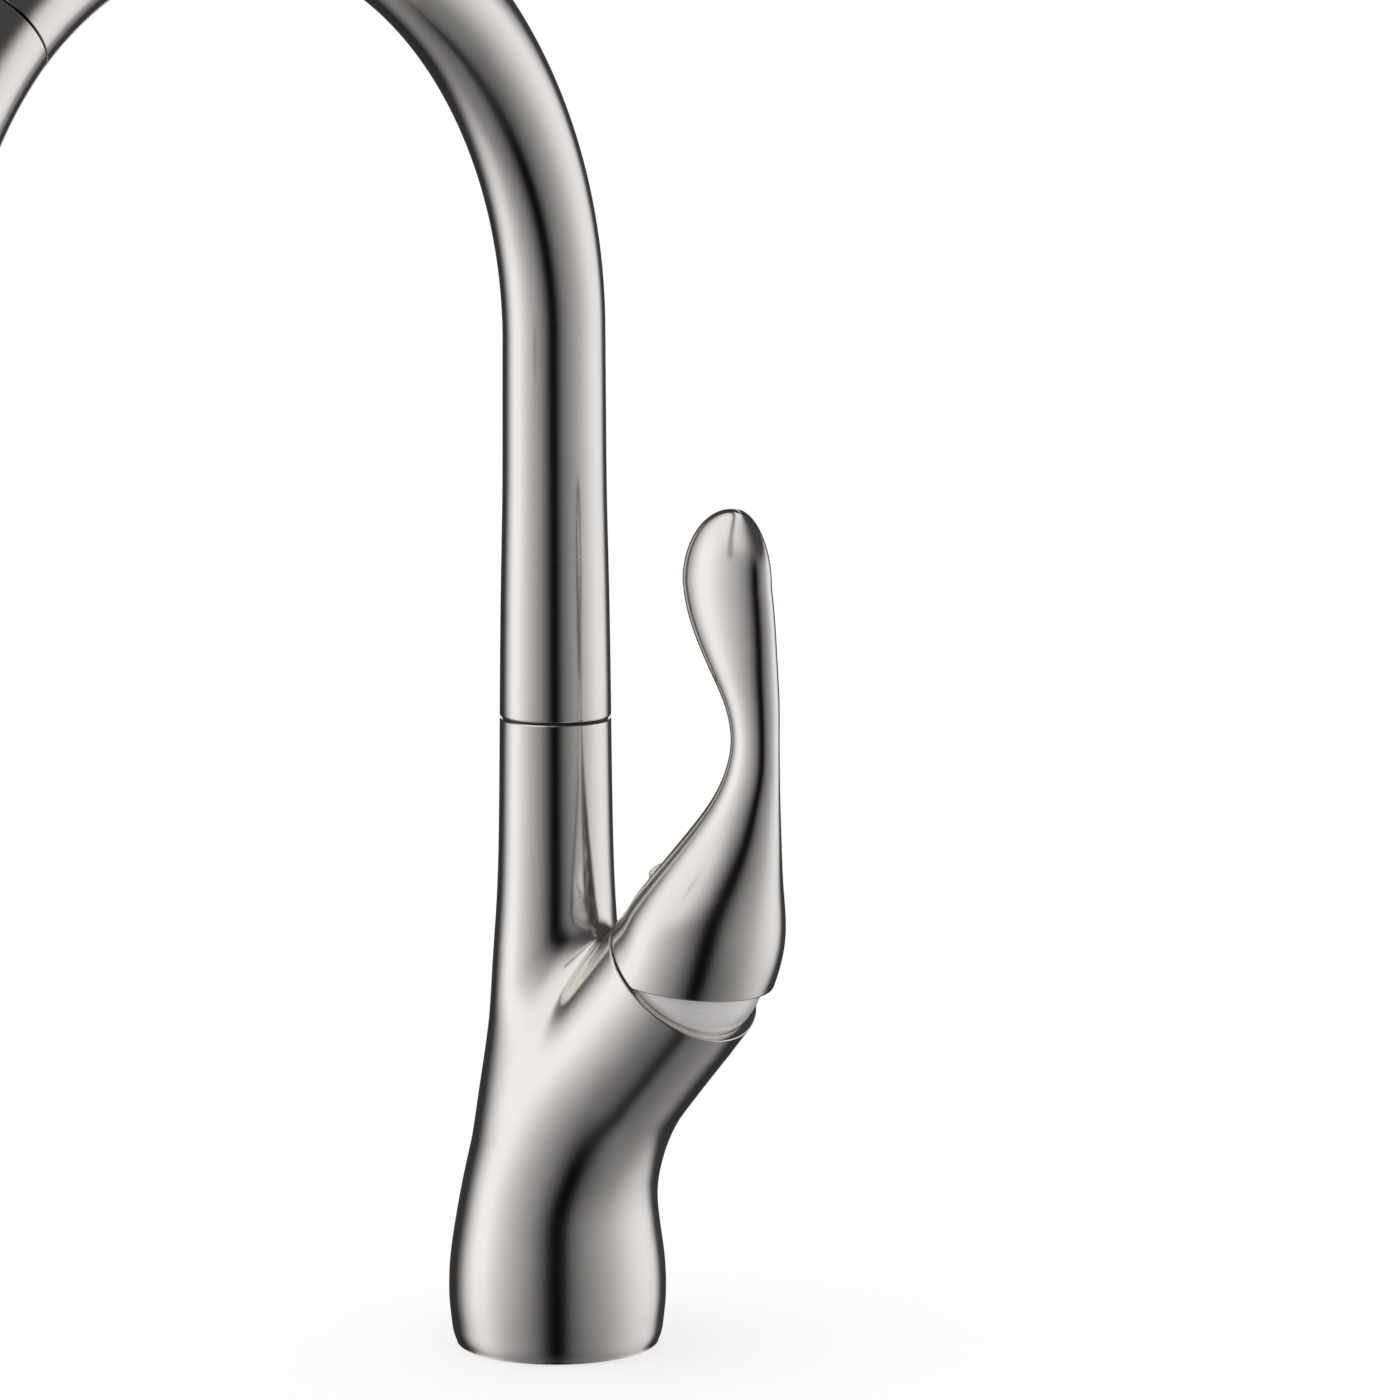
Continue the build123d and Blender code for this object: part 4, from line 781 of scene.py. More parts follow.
@dataclass
class BodyCasting:
    """Y-shaped body: a round base that narrows to the neck, and the side branch.

    Args:
        branch: Centre line of the branch.
        profile: Radius and height of the neck's outline, in millimetres.
        branch_radii: Radius and distance along the branch, in millimetres.
        base_web: Width of the fillet between the two forms in the base.
        web: Width of the soft web between neck and branch.
        web_heights: Heights between which the fillet widens to the web.
        web_depth: How far the web's foot lies below the branch's surface, for a crease at the top.
        sunk_heights: Heights between which the web's foot sinks that far.
        crease: Width of the crease beside the branch.
        voxel: Size of the mesh's faces.
        rough_foot: Height of the rough branch's foot, in millimetres.
        rough_girth: Its radius there, in millimetres.
        rough_taper: How much thinner it is at the end of its bend, in millimetres.
        top: Height of the neck's upper end.
        chamfer: Bevel of the neck's upper edge.
        bearing: Radius and depth of the spout's bearing in the neck, and radius of its hole.
        rim: Place of the branch's rim along it.
        rim_radius: Outer radius of the rim.
        rim_edge: Rounding of the rim's outer edge.
        rim_groove: Outer and inner radius of the dome's groove in the rim.
        nut_bore: Radius of the cartridge nut's bore, and its bottom along the branch.
        cartridge_bore: Radius of the cartridge's bore, and its bottom along the branch.
        gasket_recess: Radius and depth of the gasket's recess in the foot.
        shank_bore: Radius and depth of the shank's bore, and radius and top of the water ways.
    """

    branch: BranchLine
    profile: Sequence[tuple[float, float]] = (
        (25.9, 0.0), (27.0, 1.9), (27.8, 5.4), (28.4, 10.8), (28.5, 16.0), (28.2, 21.6),
        (26.5, 32.3), (24.3, 43.0), (22.1, 53.7), (19.7, 69.7), (17.7, 85.7), (16.6, 101.6),
        (15.5, 117.5), (14.8, 138.6), (14.45, 166.0),
    )
    branch_radii: Sequence[tuple[float, float]] = (
        (25.3, -45.0), (25.2, -30.0), (22.2, 30.0), (21.8, 65.4), (21.75, 75.0),
    )
    base_web: float = 3.5 * MM
    web: float = 12.0 * MM
    web_heights: tuple[float, float] = (55.0 * MM, 85.0 * MM)
    web_depth: float = 1.3 * MM
    sunk_heights: tuple[float, float] = (82.0 * MM, 98.0 * MM)
    crease: float = 1.0 * MM
    voxel: float = 0.8 * MM
    rough_foot: float = 12.0
    rough_girth: float = 24.0
    rough_taper: float = 1.8
    top: float = 165.2 * MM
    chamfer: float = 0.25 * MM
    bearing: tuple[float, float, float] = (12.35 * MM, 34.2 * MM, 8.0 * MM)
    rim: float = 65.4 * MM
    rim_radius: float = 21.8 * MM
    rim_edge: float = 0.35 * MM
    rim_groove: tuple[float, float] = (19.85 * MM, 19.3 * MM)
    nut_bore: tuple[float, float] = (18.2 * MM, 60.4 * MM)
    cartridge_bore: tuple[float, float] = (17.6 * MM, 46.5 * MM)
    gasket_recess: tuple[float, float] = (24.1 * MM, 2.6 * MM)
    shank_bore: tuple[float, float, float, float] = (16.6 * MM, 20 * MM, 15.5 * MM, 67 * MM)

    def __post_init__(self) -> None:
        """Works the neck's outline out once, as a fine table."""
        self.outline = smooth_curve(self.profile, count=400) * MM
        self.girths = smooth_curve(self.branch_radii, count=200) * MM

    def neck_radius(self, height: np.ndarray) -> np.ndarray:
        """Radius of the neck at each height."""
        return np.interp(height, self.outline[:, 1], self.outline[:, 0])

    @staticmethod
    def soft_union(
        one: np.ndarray, other: np.ndarray, width: np.ndarray | float
    ) -> np.ndarray:
        """Distance to two joined forms with a fillet between them."""
        near = np.clip(width - np.abs(one - other), 0.0, None) / width
        return np.minimum(one, other) - near**2 * width / 4

    def inside(self, points: np.ndarray) -> np.ndarray:
        """Distance to the surface, below zero inside.

        Args:
            points: Rows of x, y and z.

        Returns:
            One distance for each row.
        """
        across, side, height = points.T
        neck = np.hypot(across, side) - self.neck_radius(height)
        line = self.branch
        radius, start = line.bend_radius, line.foot - line.reach
        turn = np.arctan2(height - start, radius - across)
        turn = np.clip(turn, 0.0, line.lean)
        bent = radius - np.hypot(across - radius, height - start)
        upright = across
        leaned = across * math.cos(line.lean) - (height - line.foot) * math.sin(line.lean)
        past = across * math.sin(line.lean) + (height - line.foot) * math.cos(line.lean)
        offset = np.where(height < start, upright, np.where(past > line.reach, leaned, bent))
        travelled = np.where(
            height < start,
            height - start - line.reach,
            np.where(past > line.reach, past, (2 * turn / line.lean - 1) * line.reach),
        )
        girth = np.interp(travelled, self.girths[:, 1], self.girths[:, 0])
        arm = np.hypot(offset, side) - girth
        sunk = self.web_depth * np.interp(height, self.sunk_heights, (0.0, 1.0))
        web = np.interp(height, self.web_heights, (self.base_web, self.web))
        webbed = self.soft_union(neck, arm + sunk, web)
        return self.soft_union(webbed, arm, self.crease)

    def settle(
        self, piece: bpy.types.Object, rounds: int = 6, step: float = 0.05 * MM,
        least: float = 0.05,
    ) -> None:
        """Moves every vertex of a piece on to the surface.

        Args:
            piece: The object to settle.
            rounds: How often each vertex moves.
            step: Distance over which the slope is measured.
            least: Smallest square of a slope that is divided by.
        """
        count = len(piece.data.vertices)
        spots = np.zeros(count * 3)
        piece.data.vertices.foreach_get("co", spots)
        spots = spots.reshape(-1, 3)
        for _ in range(rounds):
            here = self.inside(spots)
            slope = np.stack(
                [(self.inside(spots + step * unit) - here) / step for unit in np.eye(3)], axis=1
            )
            size = np.maximum((slope**2).sum(axis=1), least)
            spots -= slope * (here / size)[:, None]
        piece.data.vertices.foreach_set("co", spots.ravel())
        piece.data.update()

    def rough_shape(self) -> bpy.types.Object:
        """Neck and branch as two tubes, remeshed as one skin that runs past its ends.

        Returns:
            The rough casting.
        """
        spare, slack = 4 * MM, 0.01 * MM
        heights = np.linspace(-spare, self.top + spare, 40)
        radii = self.neck_radius(heights)
        neck = tube("body_casting", round_rings(list(zip(radii, heights))), close_end=True)
        line = self.branch
        girth = self.rough_girth * MM
        rings = [Ring(Vector((0, 0, self.rough_foot * MM)), 0.0, girth, girth)]
        for share in np.linspace(0.0, 1.0, 12):
            turn = share * line.lean
            centre = Vector(
                (
                    line.bend_radius * (1 - math.cos(turn)),
                    0.0,
                    line.foot - line.reach + line.bend_radius * math.sin(turn),
                )
            )
            girth = (self.rough_girth - self.rough_taper * share) * MM
            rings.append(Ring(centre, turn, girth, girth))
        rings.append(line.ring(self.rim + spare, self.rim_radius))
        arm = tube("branch_arm", rings, TurnAxis.Y, close_end=True)
        for piece in (neck, arm):
            with editing(piece):
                levels = [vertex.co.z for vertex in piece.data.vertices]
                lowest = min(levels) + slack
                select_where(piece, [level < lowest for level in levels])
                bpy.ops.mesh.edge_face_add()
                bpy.ops.mesh.select_all(action="SELECT")
                bpy.ops.mesh.normals_make_consistent(inside=False)
        apply_modifier(neck, "BOOLEAN", operation="UNION", object=arm, solver="EXACT")
        bpy.data.objects.remove(arm)
        apply_modifier(neck, "REMESH", mode="VOXEL", voxel_size=self.voxel)
        return neck

    def trim(self, piece: bpy.types.Object, point: Vector, normal: Vector) -> None:
        """Cuts off what lies past a plane near a point, and leaves the cut edge selected.

        Args:
            piece: The object in edit mode.
            point: Point of the plane.
            normal: Direction of what is cut off.
        """
        skin = bmesh.from_edit_mesh(piece.data)
        reach = 1.2 * self.branch_radii[0][0] * MM
        select_where(piece, [(v.co - point).length < reach for v in skin.verts])
        bpy.ops.mesh.bisect(plane_co=point, plane_no=normal, clear_outer=True)

    def build(self) -> bpy.types.Object:
        """Models the casting with its rims, seats and bores.

        Returns:
            The casting.
        """
        piece = self.rough_shape()
        self.settle(piece)
        line = self.branch
        up = Vector((0, 0, 1))
        with editing(piece):
            low = self.top - self.chamfer
            self.trim(piece, up * low, up)
            radius = float(self.neck_radius(np.array([low]))[0])
            seat, depth, hole = self.bearing
            self.sink(
                up, Vector(), radius,
                ((radius - self.chamfer, self.top), (seat, self.top), (seat, self.top - depth),
                 (hole, self.top - depth)),
                low,
            )
            low = self.rim - self.rim_edge
            self.trim(piece, line.at(low), line.along)
            self.sink(line.along, line.at(0.0), self.rim_radius, self.rim_steps(low), low)
            bpy.ops.mesh.edge_face_add()
            self.trim(piece, Vector(), -up)
            recess, rise = self.gasket_recess
            shank, shank_top, ways, ways_top = self.shank_bore
            self.sink(
                up, Vector(), float(self.neck_radius(np.array([0.0]))[0]),
                ((recess, 0.0), (recess, rise), (shank, rise), (shank, shank_top),
                 (ways, shank_top), (ways, ways_top)),
                0.0,
            )
            bpy.ops.mesh.edge_face_add()
        with editing(piece):
            bpy.ops.mesh.select_all(action="DESELECT")
            bpy.ops.mesh.select_non_manifold()
            bpy.ops.mesh.edge_face_add()
        finish_mesh(piece)
        return piece

    def rim_steps(self, low: float) -> list[tuple[float, float]]:
        """Radius and place of the edges of the rim, its groove and the cartridge's bores.

        Args:
            low: Place of the rim's rounding along the branch.

        Returns:
            Pairs for sink().
        """
        steps = []
        for turn in QUARTER_TURN[1:]:
            inset, rise = self.rim_edge * (1 - math.cos(turn)), self.rim_edge * math.sin(turn)
            steps.append((self.rim_radius - inset, low + rise))
        outer, inner = self.rim_groove
        steps += [(outer, self.rim), (outer, low), (inner, low), (inner, self.rim)]
        nut, nut_bottom = self.nut_bore
        steps += [(nut, self.rim), (nut, nut_bottom)]
        cartridge, cartridge_bottom = self.cartridge_bore
        return steps + [(cartridge, nut_bottom), (cartridge, cartridge_bottom)]

    def sink(
        self, along: Vector, foot: Vector, radius: float,
        steps: Sequence[tuple[float, float]], height: float,
    ) -> None:
        """Extrudes the selected round edge through a stepped bore.

        Args:
            along: Direction of the bore's axis.
            foot: Point of the axis at height zero.
            radius: Radius of the selected edge.
            steps: Pairs of radius and height to go to.
            height: Height of the selected edge.
        """
        for next_radius, next_height in steps:
            bpy.ops.mesh.extrude_edges_move(TRANSFORM_OT_translate={"value": (0, 0, 0)})
            bpy.ops.transform.resize(
                value=(next_radius / radius,) * 3, center_override=foot + along * height
            )
            bpy.ops.transform.translate(value=along * (next_height - height))
            radius, height = next_radius, next_height


@dataclass
class Gooseneck:
    """Swivelling spout tube: a slightly waisted upright and an arch that swells to its end.

    Args:
        profile: Radius and height of the upright, in millimetres.
        arch_radius: Radius of the arch's centre line.
        start: Height where the arch starts.
        seam_angle: Turn from vertical where the tube ends.
        end_radius: Radius of the tube there.
        bore: Radius of the tube's bore.
        foot: Height of its lower end.
        edge: Rounding of the lower end.
        lip: Bevel of its upper end.
        seat_radius: Radius of the docking collar's seat in the upper end.
        seat_depth: Depth of the seat.
        seat_turn: Turn of the arch that the seat takes up, in degrees.
    """

    profile: Sequence[tuple[float, float]] = (
        (14.45, 166.5), (14.3, 180.0), (13.85, 206.0), (13.5, 222.0), (13.3, 248.0), (13.2, 264.4),
    )
    arch_radius: float = 112.4 * MM
    start: float = 264.4 * MM
    seam_angle: float = 133.16
    end_radius: float = 15.06 * MM
    bore: float = 11.3 * MM
    foot: float = 165.7 * MM
    edge: float = 0.8 * MM
    lip: float = 0.2 * MM
    seat_radius: float = 11.6 * MM
    seat_depth: float = 18.3 * MM
    seat_turn: float = 14.0

    @staticmethod
    def heading(turn: float) -> Vector:
        """Direction of the arch toward its end, by the turn from vertical in radians."""
        return Vector((0.0, -math.sin(turn), math.cos(turn)))

    def at(self, angle: float) -> Vector:
        """Point of the arch's centre line.

        Args:
            angle: Turn from vertical, in degrees.

        Returns:
            The point.
        """
        turn = math.radians(angle)
        return Vector(
            (0.0, -self.arch_radius * (1 - math.cos(turn)),
             self.start + self.arch_radius * math.sin(turn))
        )

    def rings(self) -> list[Ring]:
        """Outer rings of the tube, from the joint with the neck to its end.

        Returns:
            The rings in order.
        """
        rounded = []
        foot_radius = self.profile[0][0] * MM
        for step in range(7):
            turn = math.radians(90 * step / 6)
            rounded.append(
                (foot_radius - self.edge * (1 - math.sin(turn)),
                 self.foot + self.edge * (1 - math.cos(turn)))
            )
        upright = smooth_curve(self.profile, count=24) * MM
        outer = round_rings(rounded + [tuple(row) for row in upright[1:]])
        first = self.profile[-1][0] * MM
        for angle in np.linspace(0.0, self.seam_angle, 80)[1:]:
            radius = first + (self.end_radius - first) * angle / self.seam_angle
            outer.append(Ring(self.at(angle), math.radians(angle), radius, radius))
        return outer

    def build(self) -> bpy.types.Object:
        """Models the tube with its bore and the seat of the docking collar.

        Returns:
            The tube.
        """
        outer = self.rings()
        end = outer[-1]
        lip, seat = self.lip, self.seat_radius
        back = -self.heading(end.turn)
        rings = outer[:-1] + [
            Ring(end.centre + back * lip, end.turn, end.half_x, end.half_y),
            Ring(end.centre, end.turn, end.half_x - lip, end.half_y - lip),
            Ring(end.centre, end.turn, seat, seat),
            Ring(end.centre + back * self.seat_depth, end.turn, seat, seat),
        ]
        for angle in np.linspace(self.seam_angle - self.seat_turn, 0.0, 40):
            rings.append(Ring(self.at(angle), math.radians(angle), self.bore, self.bore))
        foot = outer[0]
        rings.append(Ring(foot.centre, 0.0, self.bore, self.bore))
        rings.append(foot)
        piece = tube("gooseneck_tube", rings)
        finish_mesh(piece)
        return piece


@dataclass
class Hose:
    """Braided hose in three lengths: in the body, in the arch, and the one that pulls out.

    Args:
        spout: The spout that it runs through.
        radius: Outer radius of the hose.
        bore: Radius of its bore.
        offset: Distance of its foot from the body's axis, toward -X.
        bottom: Height of its lower end.
        low: Height where its slant to the axis starts.
        high: Height where its slant ends.
        bend_radius: Radius of both bends of the slant.
        turning: Height where the swivelling length starts.
        gap: Gap between that length and the one in the body.
        spare: Length of the last piece before the joint with the head.
        into_head: Length of the last piece in the head.
    """

    spout: Gooseneck
    radius: float = 6.5 * MM
    bore: float = 4.2 * MM
    offset: float = 6.7 * MM
    bottom: float = -66.0 * MM
    low: float = 65.0 * MM
    high: float = 135.0 * MM
    bend_radius: float = 500.0 * MM
    turning: float = 170.0 * MM
    gap: float = 0.2 * MM
    spare: float = 14.0 * MM
    into_head: float = 5.0 * MM

    def wall(
        self, name: str, line: Sequence[tuple[Vector, float]], axis: TurnAxis
    ) -> bpy.types.Object:
        """Hollow length of hose.

        Args:
            name: Name of the piece.
            line: Centres and turns of its rings.
            axis: Axis that the rings turn about.

        Returns:
            The piece.
        """
        skin = [Ring(centre, turn, self.radius, self.radius) for centre, turn in line]
        bore = [Ring(centre, turn, self.bore, self.bore) for centre, turn in reversed(line)]
        piece = tube(name, [*skin, *bore, skin[0]], axis, 32)
        finish_mesh(piece)
        return piece

    def body_line(self) -> list[tuple[Vector, float]]:
        """Centre line of the length inside the shank and the neck.

        Returns:
            Centres and turns of its rings.
        """
        lean = math.atan2(self.offset, self.high - self.low)
        setback = self.bend_radius * math.tan(lean / 2)
        line = [(Vector((-self.offset, 0, self.bottom)), 0.0)]
        turns = np.linspace(0.0, lean, 8).tolist()
        for turn in turns:
            side, rise = 1 - math.cos(turn), math.sin(turn)
            line.append(
                (Vector((self.bend_radius * side - self.offset, 0,
                         self.low - setback + self.bend_radius * rise)), turn)
            )
        for turn in reversed(turns):
            side, rise = 1 - math.cos(turn), math.sin(turn)
            line.append(
                (Vector((-self.bend_radius * side, 0,
                         self.high + setback - self.bend_radius * rise)), turn)
            )
        return [*line, (Vector((0, 0, self.turning)), 0.0)]

    def arch_line(self, first: float, last: float) -> list[tuple[Vector, float]]:
        """Centres and turns along the arch, between two angles from vertical in degrees."""
        count = max(9, round((last - first) / 2))
        return [(self.spout.at(a), math.radians(a)) for a in np.linspace(first, last, count)]

    def build(self) -> None:
        """Models and places the three lengths."""
        end = self.spout.seam_angle
        split = end - math.degrees(self.spare / self.spout.arch_radius)
        foot = (Vector((0, 0, self.turning + self.gap)), 0.0)
        lower = self.wall("hose_in_body", self.body_line(), TurnAxis.Y)
        place(lower, "root", "hose_braid", ["hose"])
        middle = self.wall("hose_in_arch", [foot, *self.arch_line(0.0, split)], TurnAxis.X)
        place(middle, "spout", "hose_braid", ["hose"])
        turn = math.radians(end)
        out = self.spout.heading(turn)
        seam = self.spout.at(end)
        line = self.arch_line(split, end)
        steps = np.linspace(0.0, self.into_head, 4)[1:].tolist()
        line += [(seam + out * step, turn) for step in steps]
        drawn = self.wall("hose_that_pulls_out", line, TurnAxis.X)
        dress(drawn, SLOT_FINISH["hose_braid"])
        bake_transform(drawn)
        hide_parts("hose")
        log.info("%s: %d faces, follows spout and spray_head", drawn.name, len(drawn.data.polygons))


@dataclass
class LeverHandle:
    """Lever in one piece with the skirt that turns over the dome.

    Args:
        branch: Centre line of the branch that it turns about.
        edges: X and height of the lever's inner edge, X and height of its outer edge, and half
            its thickness, in millimetres, from the skirt to the widest place near the tip.
        tip_rise: Height of the round tip above the widest place, in millimetres.
        tip_shift: How far the tip lies outward of that place's middle, in millimetres.
        tip_turn: Turn of the tip's roundness where its last ring lies, in degrees.
        skirt_places: Distances along the branch of the skirt's rings, in millimetres.
        skirt_radius: Outer radius of the skirt.
        skirt_bottom: Lower edge of the skirt along the branch, on the neck's side.
        cut_drop: Drop from the skirt's middle to where the open lower edge starts.
        cut_slope: Fall of that edge toward the outer side, in degrees.
        pivot: Place of the lever's pin along the branch.
        hollow_radius: Radius of the round hollow.
        hollow_turn: Turn from the branch's direction to the hollow's first ring, in degrees.
        boss_radius: Radius of the boss around the stem.
        boss_bottom: Lower end of the boss along the branch.
        edge: Rounding of the skirt's outer edge.
        inner_edge: Rounding of the skirt's inner edge.
        skin_slide: Ring of the skin up to which the vertices slide to the lower edge.
        hollow_slide: The same for the hollow.
        segments: Vertices around the handle.
    """

    branch: BranchLine
    edges: Sequence[tuple[float, float, float, float, float]] = (
        (34.0, 124.9, 68.6, 102.0, 21.0), (38.5, 130.2, 71.9, 112.5, 18.8),
        (44.5, 137.2, 73.2, 126.0, 14.2), (50.5, 144.2, 74.2, 139.5, 9.9),
        (56.0, 151.2, 74.6, 149.5, 7.3), (59.6, 158.3, 74.9, 158.0, 5.6),
        (61.2, 166.4, 74.9, 166.4, 5.1), (58.6, 176.0, 74.8, 176.0, 5.6),
        (55.3, 181.5, 74.5, 181.5, 6.0), (49.5, 191.0, 73.9, 191.0, 6.4),
        (45.9, 200.0, 73.1, 200.0, 6.6), (44.95, 205.0, 72.45, 205.0, 6.5),
    )
    tip_rise: float = 19.2
    tip_shift: float = 2.6
    tip_turn: float = 88.0
    skirt_places: Sequence[float] = (52.0, 59.0, 66.0, 70.0)
    skirt_radius: float = 21.6 * MM
    skirt_bottom: float = 65.9 * MM
    cut_drop: float = 0.6 * MM
    cut_slope: float = 8.0
    pivot: float = 68.0 * MM
    hollow_radius: float = 20.31 * MM
    hollow_turn: float = 125.0
    boss_radius: float = 7.5 * MM
    boss_bottom: float = 75.0 * MM
    edge: float = 0.6 * MM
    inner_edge: float = 0.15 * MM
    skin_slide: int = 36
    hollow_slide: int = 24
    segments: int = 112

    def skin_rings(self) -> list[Ring]:
        """Rings of the outer skin, from below the skirt's edge to the tip.

        Returns:
            The rings in order.
        """
        keys = []
        girth = self.skirt_radius / MM
        for distance in self.skirt_places:
            spot = self.branch.at(distance * MM) / MM
            side, rise = girth * math.cos(self.branch.lean), girth * math.sin(self.branch.lean)
            keys.append((spot.x - side, spot.z + rise, spot.x + side, spot.z - rise, girth))
        rows = smooth_curve(keys + list(self.edges), count=150).tolist()
        inner, height, outer, _, thick = self.edges[-1]
        middle, half = (inner + outer) / 2, (outer - inner) / 2
        for turn in np.radians(np.linspace(0.0, self.tip_turn, 24)[1:]):
            centre = middle + self.tip_shift * (1 - math.cos(turn))
            level = height + self.tip_rise * math.sin(turn)
            width = half * math.cos(turn)
            rows.append(
                (centre - width, level, centre + width, level, thick * math.cos(turn))
            )
        rings = []
        for near_x, near_z, far_x, far_z, thick in rows:
            centre = Vector(((near_x + far_x) / 2, 0.0, (near_z + far_z) / 2)) * MM
            half = math.hypot(far_x - near_x, near_z - far_z) / 2 * MM
            rings.append(
                Ring(centre, math.atan2(near_z - far_z, far_x - near_x), half, thick * MM)
            )
        return rings

    def hollow_rings(self) -> list[Ring]:
        """Rings of the hollow, from below the skirt's edge over the top and down the boss.

        Returns:
            The rings in order.
        """
        rings = []
        boss_angle = math.asin(self.boss_radius / self.hollow_radius)
        for turn in np.linspace(math.radians(self.hollow_turn), boss_angle, 36):
            height = self.pivot + self.hollow_radius * math.cos(turn)
            rings.append(self.branch.ring(height, self.hollow_radius * math.sin(turn)))
        rings.append(self.branch.ring(self.boss_bottom, self.boss_radius))
        return rings

    def above_edge(self, spots: np.ndarray) -> np.ndarray:
        """Height of points above the skirt's lower edge, on either side of its middle.

        Args:
            spots: Rows of x, y and z.

        Returns:
            One height for each row, below zero under the edge.
        """
        middle = np.array(self.branch.at(self.skirt_bottom))
        fall = math.radians(self.cut_slope)
        square = (spots - middle) @ np.array(self.branch.along)
        opened = (spots - middle + (0.0, 0.0, self.cut_drop)) @ (math.sin(fall), 0, math.cos(fall))
        return np.minimum(square, opened)

    def hem(self, column: np.ndarray, edge: float, inward: np.ndarray, spread: int) -> np.ndarray:
        """Shortens one line of vertices so that it starts at the lower edge, with a round end.

        Args:
            column: The line's points, from below the edge upward.
            edge: Radius of the round end.
            inward: Direction toward the wall's middle.
            spread: Index of the last point that may slide.

        Returns:
            The same number of points, the first on the edge.
        """
        heights = self.above_edge(column)
        first = int(np.argmax(heights > 0))
        share = -heights[first - 1] / (heights[first] - heights[first - 1])
        steps = np.linalg.norm(np.diff(column, axis=0), axis=1)
        travel = np.concatenate([[0.0], np.cumsum(steps)])
        start = travel[first - 1] + share * (travel[first] - travel[first - 1])
        rounded = start + edge * (1 - np.cos(QUARTER_TURN))
        rest = np.linspace(rounded[-1], travel[spread], spread - len(rounded) + 2)[1:]
        wanted = np.concatenate([rounded, rest])
        moved = column.copy()
        for i in range(3):
            moved[: spread + 1, i] = np.interp(wanted, travel, column[:, i])
        moved[: len(rounded)] += inward * (edge * (1 - np.sin(QUARTER_TURN)))[:, None]
        return moved

    def build(self) -> bpy.types.Object:
        """Models the handle as one line of rings from its boss over the lower edge to the tip.

        Returns:
            The handle.
        """
        inner, outer = self.hollow_rings(), self.skin_rings()
        rings = inner[::-1] + outer
        piece = tube("lever_handle", rings, TurnAxis.Y, self.segments)
        spots = np.zeros(len(piece.data.vertices) * 3)
        piece.data.vertices.foreach_get("co", spots)
        grid = spots.reshape(len(rings), self.segments, 3)
        seam = len(inner)
        axis = np.array(self.branch.along)
        foot = np.array(self.branch.at(0.0))
        for j in range(self.segments):
            radial = grid[seam, j] - foot
            radial -= axis * (radial @ axis)
            radial /= np.linalg.norm(radial)
            skin, hollow = grid[seam:, j], grid[:seam, j][::-1]
            grid[seam:, j] = self.hem(skin, self.edge, -radial, self.skin_slide)
            grid[:seam, j] = self.hem(hollow, self.inner_edge, radial, self.hollow_slide)[::-1]
        piece.data.vertices.foreach_set("co", grid.ravel())
        piece.data.update()
        with editing(piece):
            bpy.ops.mesh.select_all(action="SELECT")
            bpy.ops.mesh.fill_holes(sides=0)
        finish_mesh(piece)
        return piece


